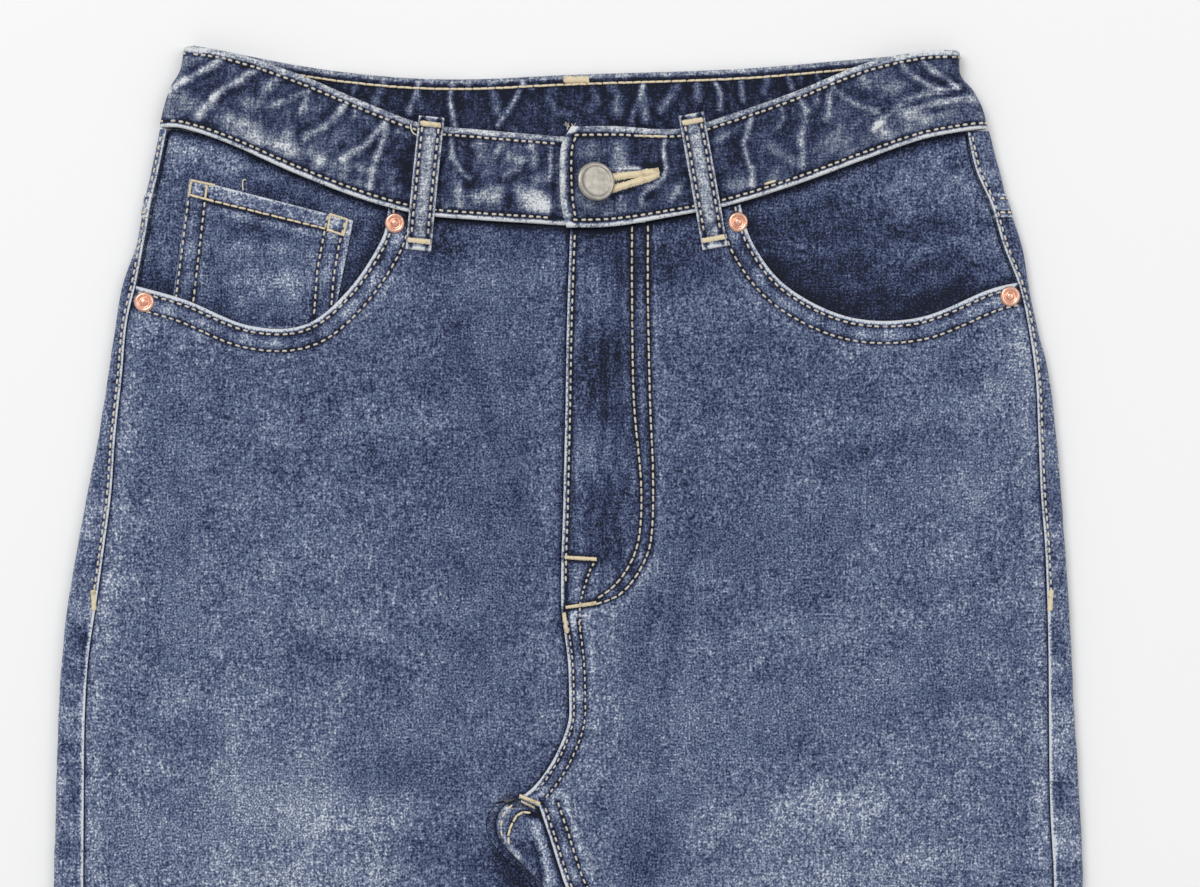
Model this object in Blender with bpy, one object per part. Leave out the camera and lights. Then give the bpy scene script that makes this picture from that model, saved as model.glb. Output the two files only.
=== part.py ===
"""Bootcut five-pocket jeans laid flat, front up, at real size in metres.

The garment lies on Z = 0 with its waist towards +Y. Left and right are the wearer's, so the
right leg lies towards -X. Positions on the cloth are given as x, from the fly, and drop, the
distance from the highest corner of the waist towards the hems.
"""

import math
from bisect import bisect_right
from collections import namedtuple

import bmesh
import bpy
from mathutils import Vector
from mathutils.geometry import delaunay_2d_cdt, intersect_point_line

# Driving sizes
CROTCH_DROP = 0.3350
INSEAM = 0.759
HEM_DROP = CROTCH_DROP + INSEAM
WAIST_TOP = 0.00192
WAIST_Y = (HEM_DROP + WAIST_TOP) / 2
CLOTH = 0.0012
SEAM_GAP = 0.0003
LAID_HEIGHT = 0.0062
FOLD_RADIUS = LAID_HEIGHT / 2
HEM_DEPTH = 0.012
HEM_DROP_TOP = HEM_DROP - HEM_DEPTH
SEAM_LIP = 0.0004
FOLD_FLAT = 0.012
FOLD_EASE = 0.02

# Waistband sizes
BAND_WALL = 0.0024
BAND_WIDTH = 0.038
BAND_HEIGHT = 0.0086
BAND_RADIUS = BAND_HEIGHT / 2
OVERLAP_HEIGHT = 0.0102
OVERLAP_RAMP = 0.025
UNDERLAP_START = -0.034
UNDERLAP_RAMP = 0.026
UNDERLAP_END = 0.034
UNDERLAP_HEIGHT = OVERLAP_HEIGHT - BAND_WALL - SEAM_GAP
BAND_EASE = 0.012

# Pocket, loop and trim sizes
FACING_WALL = 0.0010
COIN_WALL = 0.0010
PATCH_WALL = 0.0012
FACING_DEPTH = {"right": CLOTH + COIN_WALL + 2 * SEAM_GAP, "left": CLOTH + SEAM_GAP}
FACING_DROP = 0.1335
FACING_INSET = 0.0014
LOOP_WIDTH = 0.0112
LOOP_WALL = 0.0015
BACK_LOOP_LENGTH = 0.0475
LOOP_ARCH = 0.0011
BACK_LOOP_INSET = 0.0015
BUTTON_RADIUS = 0.0085
SHANK_RADIUS = 0.0024
RIVET_RADIUS = 0.0045
BUTTON_PLACE = (0.0098, 0.0637)
BUTTON_LIFT = 0.0030
BUTTON_STAND = 0.0011
BUTTON_TILT = math.radians(24)
LEAN_ACROSS = 0.94
LEAN_DOWN = -0.34
BUTTONHOLE_END = (0.0390, 0.0590)
BUTTONHOLE_START = (0.0106, 0.0634)
BUTTONHOLE_WIDTH = 0.0016
BUTTONHOLE_EYE = 0.0032
RIVETS = {
    "right_inner": (-0.0761, 0.0805),
    "right_outer": (-0.1864, 0.1153),
    "left_inner": (0.0748, 0.0801),
    "left_outer": (0.1945, 0.1128),
}

SideRow = namedtuple("SideRow", "drop right_edge right_seam left_edge left_seam")
SIDES = [
    SideRow(*row)
    for row in (
        (0.0370, -0.1795, -0.1762, 0.1846, 0.1751),
        (0.0570, -0.1835, -0.1802, 0.1901, 0.1795),
        (0.0720, -0.1870, -0.1837, 0.1940, 0.1861),
        (0.0900, -0.1903, -0.1868, 0.2000, 0.1915),
        (0.1080, -0.1965, -0.1903, 0.2030, 0.1985),
        (0.1240, -0.1992, -0.1940, 0.2063, 0.2022),
        (0.1480, -0.2027, -0.1963, 0.2120, 0.2057),
        (0.1750, -0.2070, -0.1992, 0.2152, 0.2070),
        (0.2000, -0.2120, -0.2010, 0.2174, 0.2081),
        (0.2230, -0.2162, -0.2040, 0.2190, 0.2099),
        (0.2480, -0.2205, -0.2075, 0.2208, 0.2109),
        (0.2720, -0.2230, -0.2110, 0.2220, 0.2114),
        (0.3000, -0.2247, -0.2126, 0.2234, 0.2116),
        (0.3360, -0.2257, -0.2130, 0.2256, 0.2121),
        (0.3720, -0.2266, -0.2132, 0.2270, 0.2138),
        (0.4500, -0.2262, -0.2130, 0.2265, 0.2140),
        (0.5600, -0.2225, -0.2090, 0.2225, 0.2100),
        (0.6800, -0.2190, -0.2060, 0.2190, 0.2060),
        (0.8200, -0.2240, -0.2110, 0.2240, 0.2110),
        (0.9600, -0.2390, -0.2260, 0.2390, 0.2260),
        (HEM_DROP, -0.2560, -0.2430, 0.2560, 0.2430),
    )
]

LegRow = namedtuple("LegRow", "drop right_inner right_inseam left_inner left_inseam")
LEGS = [
    LegRow(*row)
    for row in (
        (CROTCH_DROP, -0.0275, -0.0309, -0.0262, -0.0135),
        (0.3410, -0.0316, -0.0350, -0.0304, -0.0115),
        (0.3467, -0.0324, -0.0358, -0.0312, -0.0096),
        (0.3520, -0.0308, -0.0342, -0.0296, -0.0078),
        (0.3586, -0.0254, -0.0288, -0.0242, -0.0058),
        (0.3650, -0.0190, -0.0226, -0.0178, -0.0037),
        (0.3714, -0.0131, -0.0168, -0.0119, -0.0016),
        (0.3850, -0.0070, -0.0112, -0.0040, 0.0050),
        (0.4050, -0.0050, -0.0110, 0.0005, 0.0120),
        (0.4500, -0.0080, -0.0170, 0.0060, 0.0200),
        (0.5600, -0.0140, -0.0260, 0.0140, 0.0280),
        (0.6800, -0.0180, -0.0320, 0.0180, 0.0320),
        (0.8200, -0.0150, -0.0290, 0.0150, 0.0290),
        (0.9600, -0.0120, -0.0260, 0.0120, 0.0260),
        (HEM_DROP, -0.0110, -0.0250, 0.0110, 0.0250),
    )
]

RiseRow = namedtuple("RiseRow", "drop centre")
FRONT_RISE = [
    RiseRow(*row)
    for row in (
        (0.0830, 0.0009),
        (0.1220, -0.0005),
        (0.1650, -0.0013),
        (0.2040, -0.0022),
        (0.2480, -0.0031),
        (0.2730, -0.0002),
        (0.2900, 0.0004),
        (0.3000, 0.0000),
        (0.3130, -0.0048),
        (0.3234, -0.0110),
        (0.3304, -0.0172),
        (0.3335, -0.0220),
    )
]
BACK_RISE = [
    RiseRow(*row)
    for row in (
        (0.0530, 0.0000),
        (0.2500, 0.0000),
        (0.2900, -0.0050),
        (0.3150, -0.0140),
        (CROTCH_DROP, -0.0269),
    )
]

BandRow = namedtuple("BandRow", "x top bottom")
FRONT_BAND_RIGHT = [
    BandRow(*row)
    for row in (
        (-0.1790, 0.0010, 0.0385),
        (-0.1700, 0.0025, 0.0388),
        (-0.1500, 0.0051, 0.0453),
        (-0.1200, 0.0145, 0.0587),
        (-0.0900, 0.0271, 0.0702),
        (-0.0650, 0.0365, 0.0768),
        (-0.0400, 0.0394, 0.0792),
        (-0.0150, 0.0415, 0.0807),
        (0.0000, 0.0425, 0.0815),
        (0.0400, 0.0425, 0.0800),
    )
]
FRONT_BAND_LEFT = [
    BandRow(*row)
    for row in (
        (-0.0035, 0.0383, 0.0827),
        (0.0200, 0.0381, 0.0821),
        (0.0480, 0.0392, 0.0774),
        (0.0700, 0.0332, 0.0730),
        (0.1000, 0.0227, 0.0638),
        (0.1300, 0.0106, 0.0528),
        (0.1550, 0.0050, 0.0440),
        (0.1720, 0.0044, 0.0405),
        (0.1840, 0.0044, 0.0389),
    )
]
BACK_BAND = [
    BandRow(*row)
    for row in (
        (-0.1790, 0.0010, 0.0385),
        (-0.1690, 0.0012, 0.0390),
        (-0.1170, 0.0110, 0.0490),
        (-0.0800, 0.0157, 0.0537),
        (-0.0460, 0.0170, 0.0550),
        (0.0000, 0.0150, 0.0530),
        (0.0770, 0.0123, 0.0503),
        (0.1220, 0.0084, 0.0464),
        (0.1725, 0.0044, 0.0395),
        (0.1840, 0.0044, 0.0389),
    )
]
FoldRow = namedtuple("FoldRow", "share right left")
BAND_FOLDS = [
    FoldRow(*row)
    for row in (
        (0.00, -0.1690, 0.1725),
        (0.30, -0.1710, 0.1730),
        (0.50, -0.1749, 0.1785),
        (0.75, -0.1780, 0.1828),
        (1.00, -0.1800, 0.1848),
    )
]

# The overlap's buttoned end, rounded at its two corners
EndRow = namedtuple("EndRow", "share x")
OVERLAP_EDGE = [
    EndRow(*row)
    for row in (
        (0.00, 0.0014),
        (0.16, -0.0026),
        (0.34, -0.0036),
        (0.67, -0.0034),
        (0.88, -0.0022),
        (1.00, -0.0006),
    )
]

# Gathers pulled up by the elastic. A gather runs from x_top at the band's top edge to x_bottom.
GatherRow = namedtuple("GatherRow", "x_top x_bottom half_width height")
FRONT_GATHERS = [
    GatherRow(*row)
    for row in (
        (-0.1490, -0.1800, 0.0042, 0.0013),
        (-0.1330, -0.1600, 0.0044, 0.0012),
        (-0.1150, -0.1390, 0.0042, 0.0010),
        (-0.0990, -0.1180, 0.0040, 0.0010),
        (-0.0810, -0.0990, 0.0042, 0.0013),
        (-0.0790, -0.0850, 0.0034, 0.0008),
        (-0.0480, -0.0510, 0.0036, 0.0009),
        (-0.0300, -0.0270, 0.0036, 0.0005),
        (0.0430, 0.0420, 0.0030, 0.0006),
        (0.0680, 0.0660, 0.0034, 0.0008),
        (0.0810, 0.0780, 0.0038, 0.0012),
        (0.0940, 0.0920, 0.0034, 0.0008),
        (0.1050, 0.1010, 0.0038, 0.0012),
        (0.1170, 0.1150, 0.0038, 0.0012),
        (0.1290, 0.1480, 0.0040, 0.0009),
        (0.1470, 0.1700, 0.0042, 0.0012),
    )
]
BACK_GATHERS = [
    GatherRow(*row)
    for row in (
        (-0.1560, -0.1580, 0.0040, 0.0011),
        (-0.1420, -0.1400, 0.0040, 0.0010),
        (-0.1280, -0.1270, 0.0038, 0.0012),
        (-0.1130, -0.1150, 0.0040, 0.0010),
        (-0.0930, -0.0960, 0.0036, 0.0009),
        (-0.0800, -0.0830, 0.0034, 0.0009),
        (-0.0650, -0.0690, 0.0034, 0.0012),
        (-0.0510, -0.0500, 0.0034, 0.0012),
        (-0.0400, -0.0390, 0.0034, 0.0008),
        (-0.0310, -0.0270, 0.0034, 0.0009),
        (-0.0200, -0.0330, 0.0034, 0.0009),
        (0.0240, 0.0190, 0.0036, 0.0009),
        (0.0340, 0.0310, 0.0034, 0.0009),
        (0.0490, 0.0430, 0.0034, 0.0009),
        (0.0575, 0.0580, 0.0034, 0.0010),
        (0.0665, 0.0680, 0.0034, 0.0012),
        (0.0770, 0.0765, 0.0034, 0.0011),
        (0.0900, 0.0880, 0.0036, 0.0009),
        (0.1010, 0.1030, 0.0036, 0.0011),
        (0.1150, 0.1160, 0.0036, 0.0010),
        (0.1290, 0.1270, 0.0038, 0.0011),
        (0.1430, 0.1450, 0.0040, 0.0010),
        (0.1580, 0.1590, 0.0040, 0.0011),
    )
]

# Soft folds of the upper layer: a line from one end to the other, raised where height is above 0.
CreaseRow = namedtuple("CreaseRow", "x_start drop_start x_end drop_end half_width height")
CREASES = [
    CreaseRow(*row)
    for row in (
        (0.0400, 0.2500, 0.0360, 0.4300, 0.016, -0.0008),
        (-0.0300, 0.1000, -0.0420, 0.2900, 0.020, -0.0006),
        (-0.1750, 0.1500, -0.1700, 0.2700, 0.014, -0.0006),
        (0.0500, 0.2300, 0.1850, 0.1900, 0.018, -0.0006),
        (0.0700, 0.3050, 0.1950, 0.2650, 0.018, -0.0007),
        (-0.0550, 0.3100, -0.1900, 0.3500, 0.020, -0.0007),
        (-0.1900, 0.4700, -0.0600, 0.5600, 0.024, -0.0009),
        (0.1950, 0.5000, 0.0700, 0.6000, 0.024, -0.0009),
        (-0.1800, 0.6300, -0.0500, 0.6700, 0.024, -0.0010),
        (0.1850, 0.6500, 0.0550, 0.7000, 0.024, -0.0010),
        (-0.1300, 0.7600, -0.1450, 1.0200, 0.026, -0.0008),
        (0.1250, 0.7900, 0.1400, 1.0400, 0.026, -0.0008),
    )
]

OutlinePoint = namedtuple("OutlinePoint", "x drop")
POCKET_MOUTHS = {
    "right": [
        OutlinePoint(-0.0790, 0.0734),
        OutlinePoint(-0.0820, 0.0876),
        OutlinePoint(-0.0964, 0.1096),
        OutlinePoint(-0.1157, 0.1252),
        OutlinePoint(-0.1404, 0.1256),
        OutlinePoint(-0.1681, 0.1144),
        OutlinePoint(-0.1903, 0.1081),
    ],
    "left": [
        OutlinePoint(0.0757, 0.0718),
        OutlinePoint(0.0816, 0.0898),
        OutlinePoint(0.0968, 0.1087),
        OutlinePoint(0.1241, 0.1219),
        OutlinePoint(0.1544, 0.1221),
        OutlinePoint(0.1847, 0.1100),
        OutlinePoint(0.1985, 0.1066),
    ],
}
COIN_POCKET = [
    OutlinePoint(-0.1668, 0.0607),
    OutlinePoint(-0.0946, 0.0792),
    OutlinePoint(-0.1040, 0.1270),
    OutlinePoint(-0.1760, 0.1270),
]
YOKE_SIDE_DROP = 0.0780
YOKE_CENTRE_DROP = 0.1230
BACK_POCKET_TOP = 0.163
BACK_POCKET = [
    OutlinePoint(0.0280, BACK_POCKET_TOP),
    OutlinePoint(0.1630, BACK_POCKET_TOP),
    OutlinePoint(0.1560, 0.2900),
    OutlinePoint(0.0955, 0.3080),
    OutlinePoint(0.0350, 0.2900),
]
FRONT_LOOPS = {
    "right": (OutlinePoint(-0.0598, 0.0340), OutlinePoint(-0.0658, 0.0925)),
    "left": (OutlinePoint(0.0541, 0.0328), OutlinePoint(0.0647, 0.0915)),
}
BACK_LOOP_X = {"right": -0.075, "centre": 0.0, "left": 0.075}
UNDER_LIFT = PATCH_WALL + SEAM_GAP
SIGN = {"right": -1, "left": 1}

# Materials: name, colour, roughness, metallic
DENIM = ("denim", (0.115, 0.150, 0.245, 1), 0.85, 0.0)
DARK_DENIM = ("dark_denim", (0.045, 0.058, 0.125, 1), 0.85, 0.0)
PALE_METAL = ("pale_nickel", (0.42, 0.39, 0.35, 1), 0.38, 0.9)
COPPER = ("copper", (0.72, 0.36, 0.24, 1), 0.28, 0.9)


def clear_scene():
    for obj in list(bpy.data.objects):
        bpy.data.objects.remove(obj)


def material(name, colour, roughness, metallic):
    found = bpy.data.materials.get(name)
    if found:
        return found
    made = bpy.data.materials.new(name)
    made.use_nodes = True
    shader = made.node_tree.nodes["Principled BSDF"]
    shader.inputs["Base Color"].default_value = colour
    shader.inputs["Roughness"].default_value = roughness
    shader.inputs["Metallic"].default_value = metallic
    return made


def add_object(name, vertices, faces, finish):
    """Adds a mesh whose vertices are given as (x, drop, height)."""
    mesh = bpy.data.meshes.new(name)
    mesh.from_pydata([(x, WAIST_Y - drop, z) for x, drop, z in vertices], [], faces)
    shape = bmesh.new()
    shape.from_mesh(mesh)
    bmesh.ops.recalc_face_normals(shape, faces=shape.faces)
    shape.to_mesh(mesh)
    shape.free()
    mesh.materials.append(material(*finish))
    mesh.shade_smooth()
    mesh.set_sharp_from_angle(angle=math.radians(40))
    obj = bpy.data.objects.new(name, mesh)
    bpy.context.scene.collection.objects.link(obj)
    return obj


# Curves and blends


def mix(a, b, share):
    return a + (b - a) * share


def ease(share):
    share = min(1.0, max(0.0, share))
    return share * share * (3 - 2 * share)


def table_value(rows, column, at):
    """A column of a table at any value of its first column, on a smooth curve through the rows."""
    keys = [row[0] for row in rows]
    values = [getattr(row, column) for row in rows]
    if at <= keys[0]:
        return values[0]
    if at >= keys[-1]:
        return values[-1]
    i = bisect_right(keys, at) - 1
    last = len(rows) - 1

    def slope(k):
        low, high = max(k - 1, 0), min(k + 1, last)
        return (values[high] - values[low]) / (keys[high] - keys[low])

    span = keys[i + 1] - keys[i]
    t = (at - keys[i]) / span
    return (
        (2 * t**3 - 3 * t**2 + 1) * values[i]
        + (t**3 - 2 * t**2 + t) * span * slope(i)
        + (3 * t**2 - 2 * t**3) * values[i + 1]
        + (t**3 - t**2) * span * slope(i + 1)
    )


def smooth_line(points, step):
    """A smooth curve through the points, as points about one step apart."""
    line = []
    for i in range(len(points) - 1):
        before = points[max(i - 1, 0)]
        start, end = points[i], points[i + 1]
        after = points[min(i + 2, len(points) - 1)]
        pieces = max(1, round(math.dist(start, end) / step))
        for k in range(pieces):
            t = k / pieces
            line.append(
                tuple(
                    0.5
                    * (
                        2 * b
                        + (c - a) * t
                        + (2 * a - 5 * b + 4 * c - d) * t**2
                        + (3 * b - a - 3 * c + d) * t**3
                    )
                    for a, b, c, d in zip(before, start, end, after)
                )
            )
    line.append(tuple(points[-1]))
    return line


def side_edge(side, drop):
    return table_value(SIDES, side + "_edge", drop)


def side_seam(side, drop):
    edge = side_edge(side, drop)
    wrap = abs(edge - table_value(SIDES, side + "_seam", drop))
    return edge - SIGN[side] * max(wrap, FOLD_RADIUS + SEAM_GAP)


def band_rows(side):
    return FRONT_BAND_RIGHT if side == "right" else FRONT_BAND_LEFT


def band_bottom(side, x):
    return table_value(band_rows(side), "bottom", x)


# Heights of the layers


def crease_height(x, drop):
    """What the soft folds add to the upper layer, dying out towards the folded sides."""
    total = 0.0
    for row in CREASES:
        start = Vector((row.x_start, row.drop_start))
        end = Vector((row.x_end, row.drop_end))
        nearest, share = intersect_point_line((x, drop), start, end)
        share = min(1.0, max(0.0, share))
        foot = start + (end - start) * share
        away = math.hypot(x - foot.x, drop - foot.y) / row.half_width
        total += row.height * math.exp(-away * away)
    side = "left" if x > 0 else "right"
    inwards = abs(side_edge(side, drop)) - abs(x)
    return total * ease((inwards - FOLD_FLAT) / FOLD_EASE)


def front_height(x, drop):
    return LAID_HEIGHT + crease_height(x, drop)


def window(value, low, high, flat, ramp):
    """1 from flat below low to flat above high, easing to 0 over a ramp."""
    outside = max(low - flat - value, value - high - flat, 0.0)
    return 1 - ease(outside / ramp)


def loop_drops(x):
    top = table_value(BACK_BAND, "top", x) + BACK_LOOP_INSET
    return top, top + BACK_LOOP_LENGTH


def floor_lift(x, drop):
    """How far the under layer is lifted by the back pockets and back loops that lie beneath it."""
    over_pockets = window(abs(x), 0, BACK_POCKET[1].x, 0.018, 0.012) * window(
        drop, BACK_POCKET_TOP, BACK_POCKET[3].drop, 0.022, 0.012
    )
    outer_loop = BACK_LOOP_X["left"] + LOOP_WIDTH / 2
    loops_end = max(loop_drops(loop_x)[1] for loop_x in BACK_LOOP_X.values())
    over_loops = window(abs(x), 0, outer_loop, 0.012, 0.010) * window(
        drop, 0, loops_end, 0.0025, 0.010
    )
    return UNDER_LIFT * max(over_pockets, over_loops)


# Sheets: a flat net of triangles or quads lifted to an outer and an inner face


def sheet_object(name, faces, outer, inner, finish):
    """Closes two matching faces of cloth into one solid with walls along every free edge."""
    count = len(outer)
    directed = {
        (face[i], face[(i + 1) % len(face)]) for face in faces for i in range(len(face))
    }
    walls = [
        (b, a, a + count, b + count) for a, b in sorted(directed) if (b, a) not in directed
    ]
    under = [tuple(i + count for i in reversed(face)) for face in faces]
    return add_object(name, outer + inner, faces + under + walls, finish)


def inside(point, outline):
    x, y = point
    odd = False
    for (x1, y1), (x2, y2) in zip(outline, outline[1:] + outline[:1]):
        if (y1 > y) != (y2 > y) and x < x1 + (y - y1) * (x2 - x1) / (y2 - y1):
            odd = not odd
    return odd


def clearance(point, outline):
    return min(math.dist(point, corner) for corner in outline)


def cut_cloth(outline, spacing_at, rows=()):
    """Cuts a flat panel: its outline filled with triangles, on inner points about spacing apart."""
    low_x, high_x = min(p[0] for p in outline), max(p[0] for p in outline)
    low, high = min(p[1] for p in outline), max(p[1] for p in outline)
    inner = []
    drops = list(rows)
    drop = low
    while drop < high:
        drop += spacing_at(drop) * 0.87
        if not rows or min(abs(drop - row) for row in rows) > spacing_at(drop) * 0.5:
            drops.append(drop)
    for number, drop in enumerate(sorted(drops)):
        step = spacing_at(drop)
        x = low_x + (step / 2 if number % 2 else 0)
        while x < high_x:
            point = (x, drop)
            if inside(point, outline) and clearance(point, outline) > 0.55 * step:
                inner.append(point)
            x += step
    points = list(outline) + inner
    ring = [(i, (i + 1) % len(outline)) for i in range(len(outline))]
    made = delaunay_2d_cdt([Vector(p) for p in points], ring, [], 1, 1e-7)
    faces = [tuple(face) for face in made[2]]
    return [tuple(p) for p in made[0]], faces


def flat_sheet(name, outline, spacing_at, top_at, wall_at, finish, rows=()):
    points, faces = cut_cloth(outline, spacing_at, rows)
    outer = [(x, drop, top_at(x, drop)) for x, drop in points]
    inner = [(x, drop, top_at(x, drop) - wall_at(drop)) for x, drop in points]
    return sheet_object(name, faces, outer, inner, finish)


def grid_faces(columns, present):
    """Quads between neighbouring rows of a grid, where all four corners are present."""
    faces = []
    for upper, lower in zip(present, present[1:]):
        for j in range(columns - 1):
            corners = (upper.get(j), upper.get(j + 1), lower.get(j + 1), lower.get(j))
            if None not in corners:
                faces.append(corners)
    return faces


# Panels


def panel_spacing(drop):
    return 0.017 if drop < 0.36 else 0.034


def hem_wall(drop):
    return CLOTH * (2 if drop > HEM_DROP_TOP + SEAM_GAP else 1)


def drops_between(start, end):
    """Drops from start to end, closer together above the thighs than down the legs."""
    drops = [start]
    while drops[-1] + panel_spacing(drops[-1]) * 1.2 < end:
        drops.append(drops[-1] + panel_spacing(drops[-1]) * 0.9)
    return drops + [end]


TRUNK_END = CROTCH_DROP - 0.008
TRUNK_SHARES = (0, 0.06, 0.12, 0.18, 0.28, 0.40, 0.52, 0.64, 0.76, 0.88, 1)
TONGUE = {"left": 0.0028, "right": 0.0012}
LEG_DROPS = [0.3420, 0.3480, 0.3540, 0.3600, 0.3670, 0.3740, 0.3860]
LEG_DROPS += drops_between(0.405, HEM_DROP_TOP) + [HEM_DROP_TOP + 0.001, HEM_DROP]


def side_drops():
    """Drops of the side seam's points, shared by the front and back panels."""
    start = YOKE_SIDE_DROP + SEAM_GAP / 2
    return [mix(start, TRUNK_END, share) for share in TRUNK_SHARES] + [CROTCH_DROP] + LEG_DROPS


def front_outline(side):
    """The front panel's edge: rise, crotch, inseam, hem, side seam, pocket mouth, waist."""
    sign = SIGN[side]
    half_gap = sign * SEAM_GAP / 2
    waist_drop = band_bottom(side, 0.0) + SEAM_GAP
    rise_end = FRONT_RISE[-1].drop
    outline = [
        (table_value(FRONT_RISE, "centre", drop) + half_gap, drop)
        for drop in drops_between(waist_drop, 0.290)
    ]
    outline += [
        (table_value(FRONT_RISE, "centre", drop) + half_gap, drop)
        for drop in (0.300, 0.3065, 0.313, 0.3182, 0.3234, 0.3272, 0.3304, rise_end)
    ]
    inseam_drops = [CROTCH_DROP + TONGUE[side] - 2 * SEAM_GAP] + LEG_DROPS
    outline += [
        (table_value(LEGS, side + "_inseam", drop) + half_gap, drop) for drop in inseam_drops
    ]
    inner_x, outer_x = outline[-1][0], side_seam(side, HEM_DROP) - half_gap
    outline += [(mix(inner_x, outer_x, k / 7), HEM_DROP) for k in range(1, 7)]
    mouth = POCKET_MOUTHS[side]
    seam_drops = [drop for drop in side_drops() if drop > mouth[-1].drop + 0.006]
    seam_drops.insert(0, mouth[-1].drop)
    outline += [(side_seam(side, drop) - half_gap, drop) for drop in reversed(seam_drops)]
    outline += list(reversed(smooth_line(mouth, 0.009)))[1:-1]
    mouth_x = mouth[0].x
    outline += [
        (x, band_bottom(side, x) + SEAM_GAP)
        for x in (mix(mouth_x, half_gap, k / 5) for k in range(5))
    ]
    return outline


def build_front(side):
    flat_sheet(
        "front_" + side,
        front_outline(side),
        panel_spacing,
        front_height,
        hem_wall,
        DENIM,
        rows=(HEM_DROP_TOP, HEM_DROP_TOP + 0.001),
    )


def section_point(side, drop, station, depth, inner_x, inseam=None):
    """A point on the under layer where it wraps the folded sides.

    Stations 0 to 1 lie on the floor, 1 to 2 round the outer fold and 2 to 3 on top, out to the
    side seam. Stations 0 to -1 go round the inner fold and -1 to -2 on top, to the inseam.
    """
    sign = SIGN[side]
    edge = side_edge(side, drop)
    outer_start = edge - sign * FOLD_RADIUS
    inner_start = inner_x
    radius = FOLD_RADIUS - depth
    if 0 <= station <= 1:
        x = mix(inner_start, outer_start, station)
        return x, drop, floor_lift(x, drop) + depth
    if station > 0:
        if station <= 2:
            angle = math.pi * (station - 1.5)
            x = outer_start + sign * radius * math.cos(angle)
            return x, drop, FOLD_RADIUS + radius * math.sin(angle)
        seam = side_seam(side, drop) + sign * SEAM_GAP / 2
        lip = SEAM_LIP if station > 2.99 and depth == 0 else 0.0
        return mix(outer_start, seam, station - 2), drop, LAID_HEIGHT - depth + lip
    if station >= -1:
        angle = math.pi * (-station - 0.5)
        x = inner_start - sign * radius * math.cos(angle)
        return x, drop, FOLD_RADIUS + radius * math.sin(angle)
    seam = inseam - sign * SEAM_GAP / 2
    return mix(inner_start, seam, -station - 1), drop, LAID_HEIGHT - depth


def yoke_line(side, x):
    """Drop of the yoke seam, from the side to the point at the centre of the back."""
    share = ease(abs(x) / abs(side_edge(side, YOKE_SIDE_DROP)))
    return mix(YOKE_CENTRE_DROP, YOKE_SIDE_DROP, share)


def yoke_top(side, station):
    """Drop of the yoke's upper edge, which follows the waistband round the folded side."""
    drop = BAND_WIDTH
    for _ in range(4):
        x, _, _ = section_point(side, drop, min(station, 1), 0.0, 0.0)
        drop = table_value(BACK_BAND, "bottom", x)
    front = band_bottom(side, side_seam(side, drop))
    return mix(drop, front, max(station - 1, 0) / 2) + 2 * SEAM_GAP


FLOOR_STATIONS = [k / 8 for k in range(9)]
FOLD_STATIONS = [1.2, 1.4, 1.6, 1.8, 2]
TOP_STATIONS = [2.7, 3]
OUTER_STATIONS = FLOOR_STATIONS + FOLD_STATIONS + TOP_STATIONS
INNER_STATIONS = [-2, -1, -0.8, -0.6, -0.4, -0.2]


def build_yoke(side):
    sign = SIGN[side]
    stations = OUTER_STATIONS
    outer, inner, rows = [], [], []
    for share in (0, 0.22, 0.45, 0.72, 1):
        row = {}
        for j, station in enumerate(stations):
            guess = mix(0, side_edge(side, YOKE_SIDE_DROP), min(station, 1))
            bottom = yoke_line(side, guess) - SEAM_GAP / 2
            drop = mix(yoke_top(side, station), bottom, share)
            centre = sign * SEAM_GAP / 2
            row[j] = len(outer)
            outer.append(section_point(side, drop, station, 0.0, centre))
            inner.append(section_point(side, drop, station, CLOTH, centre))
        rows.append(row)
    sheet_object("yoke_" + side, grid_faces(len(stations), rows), outer, inner, DENIM)


def back_centre(side, drop):
    """Inner end of the under layer: the back rise, parting round the two inner folds."""
    flare = 1.2 * FOLD_RADIUS * ease((drop - CROTCH_DROP + 0.008) / 0.008)
    offset = SEAM_GAP / 2 + flare
    return table_value(BACK_RISE, "centre", drop) + SIGN[side] * offset


def build_back(side):
    """The back panel with its wraps at the side and, below the crotch, at the inseam."""
    sign = SIGN[side]
    stations = INNER_STATIONS + OUTER_STATIONS
    first_outer = len(INNER_STATIONS)
    outer, inner, rows = [], [], []

    def add_row(drop_at, first, centre_at):
        row = {}
        for j in range(first, len(stations)):
            station = stations[j]
            drop = drop_at(station)
            inseam = table_value(LEGS, side + "_inseam", drop)
            wall = hem_wall(drop)
            row[j] = len(outer)
            centre = centre_at(drop)
            outer.append(section_point(side, drop, station, 0.0, centre, inseam))
            inner.append(section_point(side, drop, station, wall, centre, inseam))
        rows.append(row)

    def trunk_centre(drop):
        return back_centre(side, drop)

    def leg_centre(drop):
        return table_value(LEGS, side + "_inner", drop) + sign * FOLD_RADIUS

    for share in TRUNK_SHARES:

        def trunk_drop(station, share=share):
            guess = mix(0, side_edge(side, YOKE_SIDE_DROP), min(max(station, 0), 1))
            return mix(yoke_line(side, guess) + SEAM_GAP / 2, TRUNK_END, share)

        add_row(trunk_drop, first_outer, trunk_centre)

    def crotch_drop(station):
        return CROTCH_DROP + TONGUE[side] * min(1.0, max(0.0, -station))

    add_row(crotch_drop, 0, leg_centre)
    for drop in LEG_DROPS:
        add_row(lambda station, drop=drop: drop, 0, leg_centre)
    faces = grid_faces(len(stations), rows)
    sheet_object("back_" + side, faces, outer, inner, DENIM)


# Waistband


def gather_height(gathers, x, share):
    total = 0.0
    for row in gathers:
        centre = mix(row.x_top, row.x_bottom, share)
        away = (x - centre) / row.half_width
        total += row.height * math.exp(-away * away)
    return total * ease(share / 0.12) * ease((1 - share) / 0.10)


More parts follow.
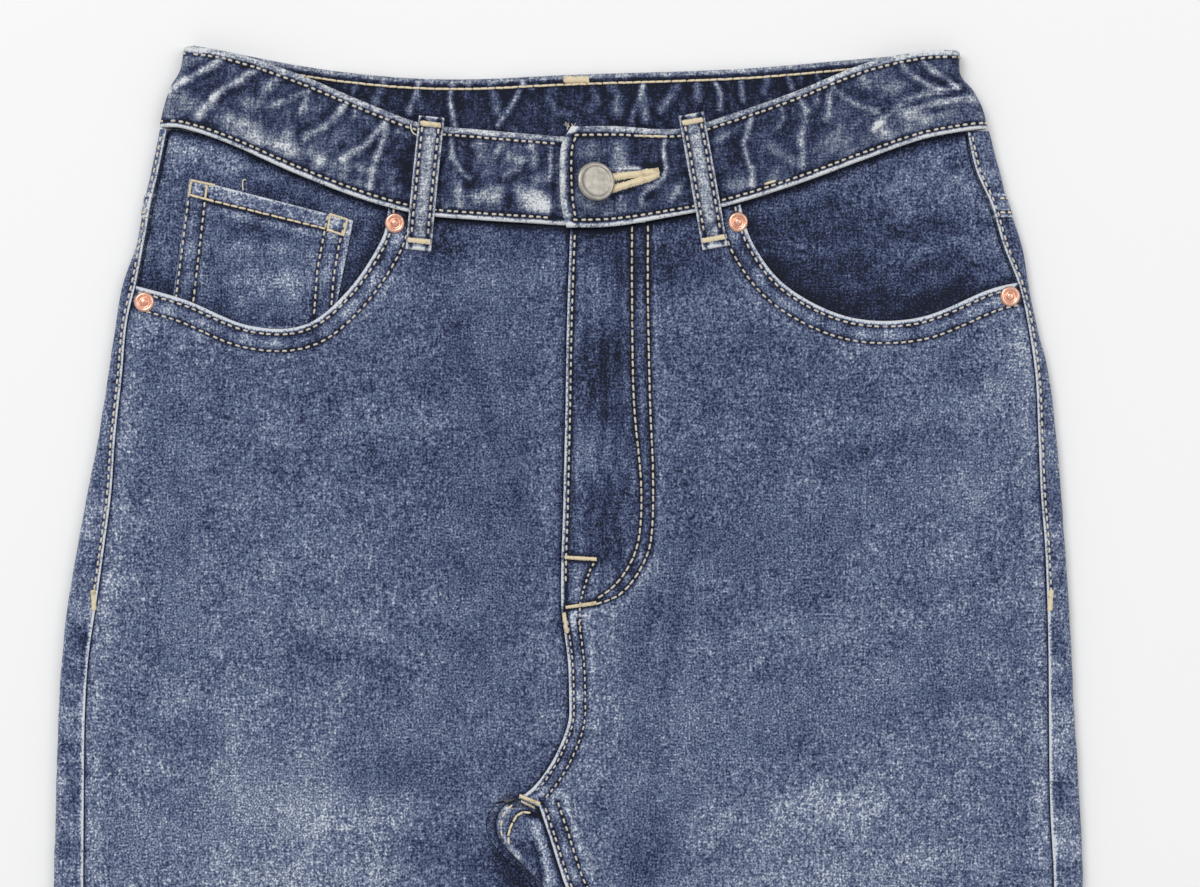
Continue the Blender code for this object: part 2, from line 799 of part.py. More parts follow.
def underlap_height(x):
    return mix(BAND_HEIGHT, UNDERLAP_HEIGHT, ease((x - UNDERLAP_START) / UNDERLAP_RAMP))


def band_front_z(side, x, share):
    """Outer height of the front waistband, from the folded side to the buttoned ends."""
    if side == "right":
        base = underlap_height(x)
        return base + gather_height(FRONT_GATHERS, x, share) * ease(-(x + 0.010) / 0.01)
    base = mix(OVERLAP_HEIGHT, BAND_HEIGHT, ease((x - UNDERLAP_END) / OVERLAP_RAMP))
    return base + gather_height(FRONT_GATHERS, x, share)


def band_stations():
    """Where the band is cut across, from the overlap's end right round to the underlap's end."""
    front_step, back_step, turns = 0.0040, 0.0044, 6
    stations = []
    count = round((BAND_FOLDS[0].left - OVERLAP_EDGE[0].x) / front_step)
    stations += [("left", k / count) for k in range(count + 1)]
    stations += [("left_fold", k / turns) for k in range(1, turns)]
    count = round((BAND_FOLDS[0].left - BAND_FOLDS[0].right) / back_step)
    stations += [("back", k / count) for k in range(count + 1)]
    stations += [("right_fold", k / turns) for k in range(1, turns)]
    count = round((UNDERLAP_END - BAND_FOLDS[0].right) / front_step)
    stations += [("right", k / count) for k in range(count + 1)]
    return stations


def band_point(place, along, share, depth):
    """A point of the waistband: its outer face at depth 0, its inner face at the wall's depth."""
    left_edge = table_value(BAND_FOLDS, "left", share) - BAND_RADIUS
    right_edge = table_value(BAND_FOLDS, "right", share) + BAND_RADIUS
    radius = BAND_RADIUS - depth

    def drop_at(rows, x):
        return mix(table_value(rows, "top", x), table_value(rows, "bottom", x), share)

    if place in ("left", "right"):
        if place == "left":
            x = mix(table_value(OVERLAP_EDGE, "x", share), left_edge, along)
        else:
            x = mix(right_edge, UNDERLAP_END, along)
        inwards = x - right_edge if place == "right" else left_edge - x
        drape = ease(inwards / BAND_EASE)
        z = mix(BAND_HEIGHT, band_front_z(place, x, share), drape)
        if depth:
            flat = z - gather_height(FRONT_GATHERS, x, share) * drape
            if place == "right" and x > UNDERLAP_START:
                flat = underlap_height(x)
            z = flat - depth
        return x, drop_at(band_rows(place), x), z
    if place == "back":
        x = mix(left_edge, right_edge, along)
        inwards = min(left_edge - x, x - right_edge)
        wave = gather_height(BACK_GATHERS, x, share) * ease(inwards / BAND_EASE)
        drop = drop_at(BACK_BAND, x)
        return x, drop, floor_lift(x, drop) + depth + (wave if depth else 0.0)
    side = "left" if place == "left_fold" else "right"
    turn = along if side == "left" else 1 - along
    start = left_edge if side == "left" else right_edge
    angle = math.pi * (0.5 - turn)
    x = start + SIGN[side] * radius * math.cos(angle)
    drop = mix(drop_at(band_rows(side), start), drop_at(BACK_BAND, start), turn)
    return x, drop, BAND_RADIUS + radius * math.sin(angle)


def buttonhole_cutter():
    """A keyhole prism: a slit that runs from the button's shank away from the band's end."""
    eye_x, eye_drop = BUTTONHOLE_START
    end_x, end_drop = BUTTONHOLE_END
    lean = math.atan2(end_drop - eye_drop, end_x - eye_x)
    half = BUTTONHOLE_WIDTH / 2
    opening = math.asin(half / BUTTONHOLE_EYE)
    steps = 12
    outline = []
    for k in range(steps + 1):
        angle = lean + opening + (2 * math.pi - 2 * opening) * k / steps
        outline.append(
            (
                eye_x + BUTTONHOLE_EYE * math.cos(angle),
                eye_drop + BUTTONHOLE_EYE * math.sin(angle),
            )
        )
    side_x, side_drop = -math.sin(lean) * half, math.cos(lean) * half
    outline.append((end_x - side_x, end_drop - side_drop))
    outline.append((end_x + side_x, end_drop + side_drop))
    bottom = UNDERLAP_HEIGHT + SEAM_GAP / 2
    top = OVERLAP_HEIGHT + 0.004
    count = len(outline)
    vertices = [(x, d, bottom) for x, d in outline] + [(x, d, top) for x, d in outline]
    ring = list(range(count))
    faces = [tuple(ring), tuple(count + i for i in reversed(ring))]
    faces += [(i, (i + 1) % count, count + (i + 1) % count, count + i) for i in ring]
    cutter = add_object("buttonhole_cutter", vertices, faces, DENIM)
    cutter.hide_render = True
    cutter.display_type = "WIRE"
    return cutter


def build_waistband():
    shares = [0, 0.16, 0.34, 0.67, 0.88, 1]
    outer, inner, rows = [], [], []
    for place, along in band_stations():
        row = {}
        for j, share in enumerate(shares):
            row[j] = len(outer)
            outer.append(band_point(place, along, share, 0.0))
            inner.append(band_point(place, along, share, BAND_WALL))
        rows.append(row)
    faces = grid_faces(len(shares), rows)
    band = sheet_object("waistband", faces, outer, inner, DENIM)
    cut = band.modifiers.new("buttonhole", "BOOLEAN")
    cut.object = buttonhole_cutter()
    cut.solver = "EXACT"


def waist_height(x, drop):
    """The highest cloth under a belt loop: the waistband, or the front panel below it."""
    side = "left" if x > 0 else "right"
    rows = band_rows(side)
    top, bottom = table_value(rows, "top", x), table_value(rows, "bottom", x)
    if drop > bottom + 0.0008:
        return front_height(x, drop)
    share = min(1.0, max(0.0, (drop - top) / (bottom - top)))
    return band_front_z(side, x, share)


# Pockets


def facing_outline(side):
    """Runs along the waist, down the side seam and just below the pocket mouth."""
    sign = SIGN[side]
    inset = sign * FACING_INSET
    mouth = POCKET_MOUTHS[side]
    inner_x = mouth[0].x - sign * 0.007
    seam_top = side_seam(side, band_bottom(side, side_seam(side, 0.04)))
    waist = [mix(seam_top - inset, inner_x, k / 7) for k in range(8)]
    outline = [(x, band_bottom(side, x) + 2 * SEAM_GAP) for x in waist]
    corner = mouth[2]
    outline += [(corner.x - sign * 0.008, corner.drop)]
    outline += [(mix(corner.x, mouth[3].x, 0.3), FACING_DROP)]
    outline += [(mix(mouth[3].x, mouth[-1].x, k / 3), FACING_DROP) for k in range(3)]
    rise = [mix(FACING_DROP, waist_start_drop(side), k / 6) for k in range(6)]
    outline += [(side_seam(side, drop) - inset, drop) for drop in rise]
    return outline


def waist_start_drop(side):
    return band_bottom(side, side_seam(side, 0.04)) + 2 * SEAM_GAP


def build_facing(side):
    depth = FACING_DEPTH[side]
    flat_sheet(
        "pocket_facing_" + side,
        facing_outline(side),
        lambda drop: 0.022,
        lambda x, drop: front_height(x, drop) - depth,
        lambda drop: FACING_WALL,
        DARK_DENIM,
    )


def build_coin_pocket():
    depth = FACING_DEPTH["right"] - SEAM_GAP - COIN_WALL
    corners = [tuple(p) for p in COIN_POCKET]
    outline = []
    for start, end in zip(corners, corners[1:] + corners[:1]):
        outline += [(mix(start[0], end[0], k / 3), mix(start[1], end[1], k / 3)) for k in range(3)]
    flat_sheet(
        "coin_pocket",
        outline,
        lambda drop: 0.022,
        lambda x, drop: front_height(x, drop) - depth,
        lambda drop: COIN_WALL,
        DENIM,
    )


def build_back_pocket(side):
    sign = SIGN[side]
    outline = [(sign * p.x, p.drop) for p in BACK_POCKET]
    points, faces = cut_cloth(outline, lambda drop: 0.05)
    upper = [(x, drop, PATCH_WALL) for x, drop in points]
    under = [(x, drop, 0.0) for x, drop in points]
    sheet_object("back_pocket_" + side, faces, upper, under, DENIM)


# Belt loops


def strip_object(name, start, end, profile, finish):
    """A strip of loop cloth. The profile gives, from end to end, (share, lower face height)."""
    across = Vector((start.drop - end.drop, end.x - start.x)).normalized()
    half = across * (LOOP_WIDTH / 2)
    upper, under = [], []
    for share, height in profile:
        x, drop = mix(start.x, end.x, share), mix(start.drop, end.drop, share)
        for side in (-1, 1):
            point = (x + side * half.x, drop + side * half.y)
            upper.append((*point, height + LOOP_WALL))
            under.append((*point, height))
    faces = [(2 * k, 2 * k + 1, 2 * k + 3, 2 * k + 2) for k in range(len(profile) - 1)]
    return sheet_object(name, faces, upper, under, finish)


def build_front_loop(side):
    """Stands off the band between its two tacked ends, and lies on the band at the top."""
    start, end = FRONT_LOOPS[side]
    steps = 14
    profile = []
    for k in range(steps + 1):
        share = k / steps
        x, drop = mix(start.x, end.x, share), mix(start.drop, end.drop, share)
        reach = LOOP_WIDTH / 2
        below = max(
            waist_height(x + dx, drop + dd)
            for dx in (-reach, 0, reach)
            for dd in (-0.0030, 0, 0.0030)
        )
        rise = LOOP_ARCH * math.sin(math.pi * ease(min(share / 0.88, 1.0)))
        profile.append((share, below + SEAM_GAP + rise))
    strip_object("belt_loop_front_" + side, start, end, profile, DENIM)


def build_back_loop(place):
    x = BACK_LOOP_X[place]
    top, bottom = loop_drops(x)
    half = LOOP_WIDTH / 2
    points = [(x - half, top), (x + half, top), (x + half, bottom), (x - half, bottom)]
    upper = [(*point, PATCH_WALL) for point in points]
    under = [(*point, 0.0) for point in points]
    sheet_object("belt_loop_back_" + place, [(0, 1, 2, 3)], upper, under, DENIM)


# Trims


def turned_object(name, profile, sides, place, height, tilt, finish):
    """Turns a profile of (radius, height) round an axis that leans by tilt."""
    lean = Vector((math.sin(tilt) * LEAN_ACROSS, math.sin(tilt) * LEAN_DOWN, math.cos(tilt)))
    axis = lean.normalized()
    across = axis.cross(Vector((0, 1, 0))).normalized()
    along = axis.cross(across)
    base = Vector((place[0], place[1], height))
    vertices = []
    for radius, rise in profile[1:-1]:
        for k in range(sides):
            angle = 2 * math.pi * k / sides
            spoke = across * math.cos(angle) + along * math.sin(angle)
            vertices.append(tuple(base + axis * rise + spoke * radius))
    rings = len(profile) - 2
    vertices.append(tuple(base + axis * profile[0][1]))
    vertices.append(tuple(base + axis * profile[-1][1]))
    bottom, top = rings * sides, rings * sides + 1
    faces = []
    for k in range(sides):
        after = (k + 1) % sides
        faces.append((bottom, after, k))
        last = (rings - 1) * sides
        faces.append((top, last + k, last + after))
        for ring in range(rings - 1):
            low, high = ring * sides, (ring + 1) * sides
            faces.append((low + k, low + after, high + after, high + k))
    return add_object(name, vertices, faces, finish)


def build_button():
    base = UNDERLAP_HEIGHT + SEAM_GAP
    cap = OVERLAP_HEIGHT - base + BUTTON_LIFT
    profile = [
        (0, 0.0),
        (SHANK_RADIUS, 0.0),
        (SHANK_RADIUS, cap),
        (BUTTON_RADIUS * 0.90, cap),
        (BUTTON_RADIUS, cap + 0.0008),
        (BUTTON_RADIUS * 0.96, cap + 0.0015),
        (BUTTON_RADIUS * 0.80, cap + 0.0021),
        (BUTTON_RADIUS * 0.64, cap + 0.0017),
        (0, cap + 0.0018),
    ]
    turned_object("button", profile, 28, BUTTON_PLACE, base + BUTTON_STAND, BUTTON_TILT, PALE_METAL)


def build_rivet(name, place):
    base = max(
        front_height(place[0] + dx, place[1] + dd) for dx in (-0.004, 0.004) for dd in (-0.004, 0.004)
    )
    profile = [
        (0, 0.0),
        (RIVET_RADIUS * 0.96, 0.0),
        (RIVET_RADIUS, 0.0004),
        (RIVET_RADIUS * 0.78, 0.0012),
        (RIVET_RADIUS * 0.44, 0.0008),
        (RIVET_RADIUS * 0.34, 0.0014),
        (0, 0.0017),
    ]
    turned_object("rivet_" + name, profile, 18, place, base + SEAM_GAP, 0.0, COPPER)


def build_jeans():
    clear_scene()
    build_waistband()
    for side in ("right", "left"):
        build_front(side)
        build_back(side)
        build_yoke(side)
        build_facing(side)
        build_back_pocket(side)
        build_front_loop(side)
    build_coin_pocket()
    for place in BACK_LOOP_X:
        build_back_loop(place)
    build_button()
    for name, place in RIVETS.items():
        build_rivet(name, place)


build_jeans()
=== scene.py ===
import math
import random

import bpy
import numpy as np
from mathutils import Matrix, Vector
from mathutils.geometry import delaunay_2d_cdt


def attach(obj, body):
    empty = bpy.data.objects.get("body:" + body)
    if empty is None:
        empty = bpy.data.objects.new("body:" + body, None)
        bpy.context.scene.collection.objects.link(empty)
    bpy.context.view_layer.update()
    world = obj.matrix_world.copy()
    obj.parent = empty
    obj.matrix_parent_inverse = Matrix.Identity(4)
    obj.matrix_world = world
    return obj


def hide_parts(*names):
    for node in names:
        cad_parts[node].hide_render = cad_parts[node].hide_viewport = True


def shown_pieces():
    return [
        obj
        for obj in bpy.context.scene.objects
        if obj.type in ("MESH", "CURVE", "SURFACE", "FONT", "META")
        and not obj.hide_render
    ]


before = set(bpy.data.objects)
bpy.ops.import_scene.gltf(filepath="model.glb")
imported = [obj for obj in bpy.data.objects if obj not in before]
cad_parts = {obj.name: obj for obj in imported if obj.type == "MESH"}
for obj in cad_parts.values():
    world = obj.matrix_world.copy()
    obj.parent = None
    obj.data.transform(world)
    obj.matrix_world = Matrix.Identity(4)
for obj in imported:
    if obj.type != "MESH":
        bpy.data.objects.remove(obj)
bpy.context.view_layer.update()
random.seed(7)
print("frame loaded")

# Places are x, from the fly to the wearer's left, and drop, down from the waist's top corner.
# Sizes are in metres, and the long tables are in millimetres.
garment = {
    "crotchDrop": 0.335,
    "hemDrop": 1.094,
    "hemDepth": 0.012,
    "waistTop": 0.00192,
    "height": 0.0062,  # outer height of the two layers, laid flat
    "cloth": 0.0012,
    "seamGap": 0.0003,
    "underLift": 0.0015,  # over the back pockets and back loops
    "restLift": 0.0004,  # room under the cloth for the stitches there
    "meshStep": 0.0021,  # point spacing where the camera looks closely
}
waistY = (garment["hemDrop"] + garment["waistTop"]) / 2
foldRadius = garment["height"] / 2
seamGap, hemDrop, restLift = garment["seamGap"], garment["hemDrop"], garment["restLift"]
signOf = {"right": -1, "left": 1}

# drop, right edge, right seam, left edge, left seam
sideRows = np.array([
    (37, -179.5, -176.2, 184.6, 175.1), (57, -183.5, -180.2, 190.1, 179.5), (72, -187, -183.7, 194, 186.1),
    (90, -190.3, -186.8, 200, 191.5), (108, -196.5, -190.3, 203, 198.5), (124, -199.2, -194, 206.3, 202.2),
    (148, -202.7, -196.3, 212, 205.7), (175, -207, -199.2, 215.2, 207), (200, -212, -201, 217.4, 208.1),
    (223, -216.2, -204, 219, 209.9), (248, -220.5, -207.5, 220.8, 210.9), (272, -223, -211, 222, 211.4),
    (300, -224.7, -212.6, 223.4, 211.6), (336, -225.7, -213, 225.6, 212.1),
    (372, -226.6, -213.2, 227, 213.8), (450, -226.2, -213, 226.5, 214), (560, -222.5, -209, 222.5, 210),
    (680, -219, -206, 219, 206), (820, -224, -211, 224, 211), (960, -239, -226, 239, 226),
    (1094, -256, -243, 256, 243),
]) / 1000
# drop, right inner fold, right inseam, left inner fold, left inseam
legRows = np.array([
    (335, -27.5, -30.9, -26.2, -13.5), (341, -31.6, -35, -30.4, -11.5), (346.7, -32.4, -35.8, -31.2, -9.6),
    (352, -30.8, -34.2, -29.6, -7.8), (358.6, -25.4, -28.8, -24.2, -5.8), (365, -19, -22.6, -17.8, -3.7),
    (371.4, -13.1, -16.8, -11.9, -1.6), (385, -7, -11.2, -4, 5), (405, -5, -11, 0.5, 12),
    (450, -8, -17, 6, 20), (560, -14, -26, 14, 28), (680, -18, -32, 18, 32), (820, -15, -29, 15, 29),
    (960, -12, -26, 12, 26), (1094, -11, -25, 11, 25),
]) / 1000
# drop, x of the centre seam
frontRise = np.array([
    (83, 0.9), (122, -0.5), (165, -1.3), (204, -2.2), (248, -3.1), (273, -0.2), (290, 0.4), (300, 0),
    (313, -4.8), (323.4, -11), (330.4, -17.2), (333.5, -22),
]) / 1000
backRise = np.array([(53, 0), (250, 0), (290, -5), (315, -14), (335, -26.9)]) / 1000
# x, drop of the band's top edge, drop of its bottom edge
bandRows = {
    "right": np.array([
        (-179, 1, 38.5), (-170, 2.5, 38.8), (-150, 5.1, 45.3), (-120, 14.5, 58.7), (-90, 27.1, 70.2),
        (-65, 36.5, 76.8), (-40, 39.4, 79.2), (-15, 41.5, 80.7), (0, 42.5, 81.5), (40, 42.5, 80),
    ]) / 1000,
    "left": np.array([
        (-3.5, 38.3, 82.7), (20, 38.1, 82.1), (48, 39.2, 77.4), (70, 33.2, 73), (100, 22.7, 63.8),
        (130, 10.6, 52.8), (155, 5, 44), (172, 4.4, 40.5), (184, 4.4, 38.9),
    ]) / 1000,
    "back": np.array([
        (-179, 1, 38.5), (-169, 1.2, 39), (-117, 11, 49), (-80, 15.7, 53.7), (-46, 17, 55), (0, 15, 53),
        (77, 12.3, 50.3), (122, 8.4, 46.4), (172.5, 4.4, 39.5), (184, 4.4, 38.9),
    ]) / 1000,
}
# share across the band, right fold, left fold
bandFolds = np.array([
    (0, -169, 172.5), (0.3, -171, 173), (0.5, -174.9, 178.5), (0.75, -178, 182.8), (1, -180, 184.8),
]) / (1, 1000, 1000)
band = {
    "wall": 0.0024,
    "radius": 0.0043,
    "overlapHeight": 0.0102,
    "underlapEnd": 0.034,
    "width": 0.0385,
    "rim": 0.0011,  # how far in the edges are rounded
    "endRow": 0.0052,  # the row down the overlap, from its end
    "rows": (0.088, 0.925),  # stitch rows, as shares of the band's width
    "ridge": 0.002,  # height of the highest gather
    "topWear": 0.46,
    "weltWear": 0.7,
    "valley": 0.3,
    "crest": 0.6,
}
# share across the band, x of the overlap's buttoned end
overlapEdge = np.array([
    (0, 1.4), (0.16, -2.6), (0.34, -3.6), (0.67, -3.4), (0.88, -2.2), (1, -0.6),
]) / (1, 1000)
band["height"] = 2 * band["radius"]
band["underlapHeight"] = band["overlapHeight"] - band["wall"] - seamGap

# Ridges that the elastic pulls up in the band, and the dark valleys where the amount is below 0:
# half width, amount in hundredths, then the line's places in turn
bandCreases = {
    "front": [
        (1.1, 95, -150, 6.6, -156, 11.4, -164, 15.4, -171, 19.4, -176, 22.4),
        (1.1, 85, -135, 12.8, -141, 15.4, -146, 19.4, -152, 22.4, -156, 26),
        (1.5, 55, -156, 26, -158, 29, -162, 33.9), (1.3, 50, -126, 16.3, -131, 19.8, -134, 23.3),
        (1, 60, -114, 22, -120, 25.1, -127, 28.2, -132, 29.5),
        (1.1, 50, -113, 22.4, -116, 27.7, -118, 32.6),
        (1.1, 75, -98, 28.6, -103, 33.4, -106, 37.8, -113, 41.4, -116, 44),
        (1.1, 50, -98, 28.6, -100, 33.4, -102, 36.1), (1.4, 35, -108, 27.3, -110, 30.4),
        (1, 45, -93, 30.8, -94, 34.3), (1, 80, -80, 34.8, -83, 39.6, -88, 45.8, -94, 49.3, -99, 52.4),
        (1.1, 75, -79, 35.2, -81, 44, -84, 51.9, -86, 58.1, -87, 65.1),
        (0.7, 40, -73, 38.3, -76, 42.2, -79, 46.6), (1.8, 50, -99, 52.8, -99, 60.7),
        (2.6, 42, -148, 36.1, -140, 40.9, -137, 43.1), (2.2, 50, -131, 44, -125, 47.5, -120, 49.3),
        (2.2, 45, -174, 25.1, -167, 27.7, -162, 29.9), (2.2, 30, -177, 27.7, -174, 33.4),
        (1.8, 45, -113, 48.4, -109, 52.8, -111, 56.3), (1.8, 30, -77, 58.1, -78, 62.5),
        (1.8, 28, -169, 8.8, -170, 15.8), (1.8, 28, -144, 26.4, -135, 28.2),
        (0.8, 65, -50, 38.7, -51, 44.9, -51, 49.3, -50, 52.8, -47, 57.2, -43, 61.6),
        (0.8, 40, -51, 49.3, -54, 56.3, -55, 61.6), (1.6, 60, -48, 63.8, -47, 72.6),
        (1.8, 42, -39, 44.9, -38, 50.6), (1.3, 52, -28, 44.4, -31, 49.3, -34, 51.9),
        (1.3, 55, -17, 44.9, -15, 49.3, -15, 55), (1.1, 58, -7, 46.6, -7, 52.8, -7, 58.1),
        (1.3, 40, -26, 51.9, -19, 53.2), (1.3, 38, -23, 56.3, -28, 59.8), (1.3, 40, -15, 61.6, -8, 60.7),
        (2.4, 68, -40, 69.5, -32, 68.6), (2.6, 65, -20, 66.9, -13, 68.2, -9, 72.2),
        (2.6, 55, -18, 73, -10, 75.7), (1.3, 30, 11, 44.9, 9, 50.6), (2.2, 42, 23, 44, 22, 52.8),
        (0.9, 60, 19, 56.8, 27, 56.3, 34, 57.6),
        (0.8, 75, 43, 42.2, 42, 48.4, 43, 56.3, 42, 60.7, 37, 65.1, 33, 68.6, 32, 72.2),
        (0.9, 50, 24, 66.9, 22, 73.5), (1.1, 45, 51, 61.6, 48, 65.1, 46, 70.4), (1.8, 30, 4, 69.5, 10, 73),
        (2.2, 20, 67, 38.7, 65, 46.2, 65, 55),
        (1, 80, 81, 33.4, 79, 39.6, 77, 46.2, 79, 52.8, 81, 58.1, 81, 65.1),
        (0.8, 50, 94, 29.9, 95, 33.9, 93, 37.8),
        (1.1, 65, 102, 25.1, 105, 31.7, 103, 37.8, 102, 44, 103, 49.3, 103, 56.3),
        (0.9, 42, 110, 23.8, 109, 27.7), (1.1, 65, 116, 20.2, 115, 26.4, 114, 35.2),
        (0.9, 52, 117, 21.1, 122, 26, 129, 29.5, 136, 31.7), (1.5, 45, 129, 15, 131, 20.2),
        (3.1, 28, 134, 18.5, 144, 22), (1, 62, 145, 8.8, 150, 15, 157, 19.4, 163, 22),
        (0.9, 65, 156, 9.7, 161, 14.1, 167, 17.6, 171, 21.1),
        (1, 68, 171, 21.1, 164, 22.9, 153, 25.1, 145, 29.9, 139, 34.3, 134, 39.6),
        (1.1, 50, 183, 26.4, 172, 26, 161, 28.2, 151, 30.8, 146, 32.6), (2.2, 45, 137, 37.8, 141, 43.1),
        (1.8, 38, 150, 32.6, 159, 34.8), (1.8, 28, 179, 19.4, 182, 24.6), (3.5, 22, 115, 48.4, 124, 46.2),
        (1.8, 38, 88, 45.3, 95, 51.5, 101, 54.6), (1.3, 25, 93, 56.3, 89, 60.7),
        (1.8, 25, 69, 63.8, 78, 62), (1.8, -14, -144, 11.4, -152, 16.7, -160, 21.1, -169, 24.2),
        (1.3, -12, -174, 17.6, -166, 13.2, -157, 7.9),
        (2.6, -12, -140, 19.4, -146, 24.6, -150, 29, -156, 34.3),
        (3.1, -10, -135, 31.7, -125, 38.3, -118, 38.7), (2.2, -12, -107, 31.7, -111, 37, -118, 41.4),
        (2, -12, -86, 36.1, -92, 41.8, -99, 46.6), (1.8, -10, -89, 51, -92, 59.8),
        (4.8, -16, -74, 46.2, -75, 65.1), (2.6, -10, -44, 48.4, -41, 55.4),
        (2.2, -12, -21, 60.7, -18, 63.8), (2.2, -14, -29, 72.2, -25, 74.8),
        (2.2, -12, -11, 49.3, -11, 55.4), (1.5, -12, -54, 48.4, -56, 66), (3.1, -10, 34, 47.5, 36, 51.9),
        (2.2, -12, 48, 48.4, 49, 59.8), (2.6, -12, 73, 39.6, 73, 60.7), (2.6, -12, 87, 31.7, 85, 42.2),
        (2.2, -12, 98, 30.8, 98, 46.6), (2.2, -10, 109, 34.3, 109, 48.4),
        (1.5, -14, 137, 27.7, 146, 26, 153, 22), (1.2, -18, 148, 28.6, 159, 25.1, 172, 23.8),
        (1.3, -18, 153, 13.2, 161, 18.5, 166, 19.8),
        # in the shade of the belt loops
        (1.8, -24, -66.8, 34, -72.6, 80), (1.6, -24, -53, 38, -58, 80), (1.6, -20, 47.6, 38, 55.6, 80),
        (1.8, -24, 61.4, 36, 69.4, 76),
    ],
    "back": [
        (1, 35, -93, 18.5, -95, 23.3), (1.4, 38, -81, 19.4, -84, 24.2, -85, 27.7),
        (1.1, 50, -66, 19.8, -68, 25.5, -70, 31.7), (1.1, 35, -66, 20.2, -65, 29.9),
        (1, 58, -51, 19.8, -52, 25.5, -51, 31.7, -50, 37.8), (1.1, 28, -44, 19.8, -45, 25.5),
        (1.4, 38, -34, 19.8, -32, 25.5, -31, 31.7), (0.9, 58, -20, 18.9, -23, 25.5, -27, 31.7, -31, 37.4),
        (0.7, 42, -20, 18.9, -16, 21.6, -14, 19.4), (1.3, 26, -7, 20.7, -9, 25.5, -5, 30.8, 1, 32.6),
        (1.3, 24, 11, 21.1, 13, 26.4, 9, 30.8), (1.8, 34, 19, 19.4, 22, 24.6, 21, 31.7),
        (1, 45, 33, 19.4, 31, 25.5, 28, 35.2), (1.3, 45, 33, 19.4, 34, 35.2),
        (1.3, 42, 48, 20.2, 45, 24.6, 41, 30.8), (1.4, 46, 57, 19.4, 57, 25.5),
        (1, 58, 65, 18.5, 67, 22.9, 67, 29.9), (1, 50, 76, 17.2, 77, 26.4), (1.4, 36, 88, 16.7, 86, 22.4),
        (1, 48, 97, 15.8, 99, 21.1), (1, 32, 103, 15, 102, 19.4), (0.9, 35, 110, 15, 111, 18),
    ],
}

# broad soft folds, as in the solids: half width, height, then the line's places
broadFolds = [
    (16, -0.8, 40, 250, 36, 430), (20, -0.6, -30, 100, -42, 290), (14, -0.6, -175, 150, -170, 270),
    (18, -0.6, 50, 230, 185, 190), (18, -0.7, 70, 305, 195, 265), (20, -0.7, -55, 310, -190, 350),
    (24, -0.9, -190, 470, -60, 560), (24, -0.9, 195, 500, 70, 600), (24, -1, -180, 630, -50, 670),
    (24, -1, 185, 650, 55, 700), (26, -0.8, -130, 760, -145, 1020), (26, -0.8, 125, 790, 140, 1040),
]
# narrower creases of the front
fineCreases = [
    (3, -0.45, -56, 101, -11, 233), (2.2, 0.5, 50, 234, 35, 326), (3, -0.4, 54.5, 234, 39.5, 330),
    (3.5, 0.35, -145, 245, -47, 270), (4, -0.3, -140, 254, -50, 278), (4, 0.3, -110, 170, -50, 168),
    (4, 0.35, 60, 272, 190, 230), (4.5, -0.35, 80, 250, 195, 213), (4.5, 0.3, 100, 190, 198, 147),
    (4.5, 0.3, 90, 292, 190, 272), (4, -0.3, -195, 150, -120, 185), (6, 0.3, -185, 300, -90, 315),
    (2.5, -0.5, -28, 348, -6, 385),
]
pocketMouths = {
    "right": np.array([
        (-79, 73.4), (-82, 87.6), (-96.4, 109.6), (-115.7, 125.2), (-140.4, 125.6), (-168.1, 114.4),
        (-190.3, 108.1),
    ]) / 1000,
    "left": np.array([
        (75.7, 71.8), (81.6, 89.8), (96.8, 108.7), (124.1, 121.9), (154.4, 122.1), (184.7, 110),
        (198.5, 106.6),
    ]) / 1000,
}
yoke = {"sideDrop": 0.078, "centreDrop": 0.123}
trunkEnd = garment["crotchDrop"] - 0.008
tongue = {"left": 0.0028, "right": 0.0012}


# Curves and soft fields

def mix(a, b, share):
    return a + (b - a) * share


def ease(share):
    share = np.clip(share, 0.0, 1.0)
    return share * share * (3 - 2 * share)


def bell(distance, width):
    return np.exp(-(distance / width) ** 2)


def softEdge(distance, start, width):
    return bell(np.maximum(distance - start, 0), width)


def upTo(value, end, ramp):
    return 1 - ease((value - end) / ramp)


def along(rows, column, at):
    # the same smooth curve through a table's rows that the solids are cut to
    keys, values = rows[:, 0], rows[:, column]
    at = np.clip(np.asarray(at, float), keys[0], keys[-1])
    i = np.clip(np.searchsorted(keys, at, side="right") - 1, 0, len(keys) - 2)
    low = np.maximum(np.arange(len(keys)) - 1, 0)
    high = np.minimum(np.arange(len(keys)) + 1, len(keys) - 1)
    slopes = (values[high] - values[low]) / (keys[high] - keys[low])
    span = keys[i + 1] - keys[i]
    t = (at - keys[i]) / span
    return (
        (2 * t**3 - 3 * t**2 + 1) * values[i]
        + (t**3 - 2 * t**2 + t) * span * slopes[i]
        + (3 * t**2 - 2 * t**3) * values[i + 1]
        + (t**3 - t**2) * span * slopes[i + 1]
    )


def smoothLine(points, step):
    line = []
    for i in range(len(points) - 1):
        before, start = points[max(i - 1, 0)], points[i]
        end, after = points[i + 1], points[min(i + 2, len(points) - 1)]
        pieces = max(1, round(math.dist(start, end) / step))
        for k in range(pieces):
            t = k / pieces
            line.append(tuple(
                0.5 * (2 * b + (c - a) * t + (2 * a - 5 * b + 4 * c - d) * t**2
                       + (3 * b - a - 3 * c + d) * t**3)
                for a, b, c, d in zip(before, start, end, after)))
    line.append(tuple(points[-1]))
    return line


def runAlong(points):
    return np.concatenate([[0], np.cumsum(np.linalg.norm(np.diff(points, axis=0), axis=1))])


def evenLine(points, step):
    # the same line as points an even step apart
    points = np.asarray(points, float)
    run = runAlong(points)
    count = max(2, round(run[-1] / step) + 1)
    at = np.linspace(0, run[-1], count)
    return np.stack([np.interp(at, run, points[:, k]) for k in range(points.shape[1])], axis=1)


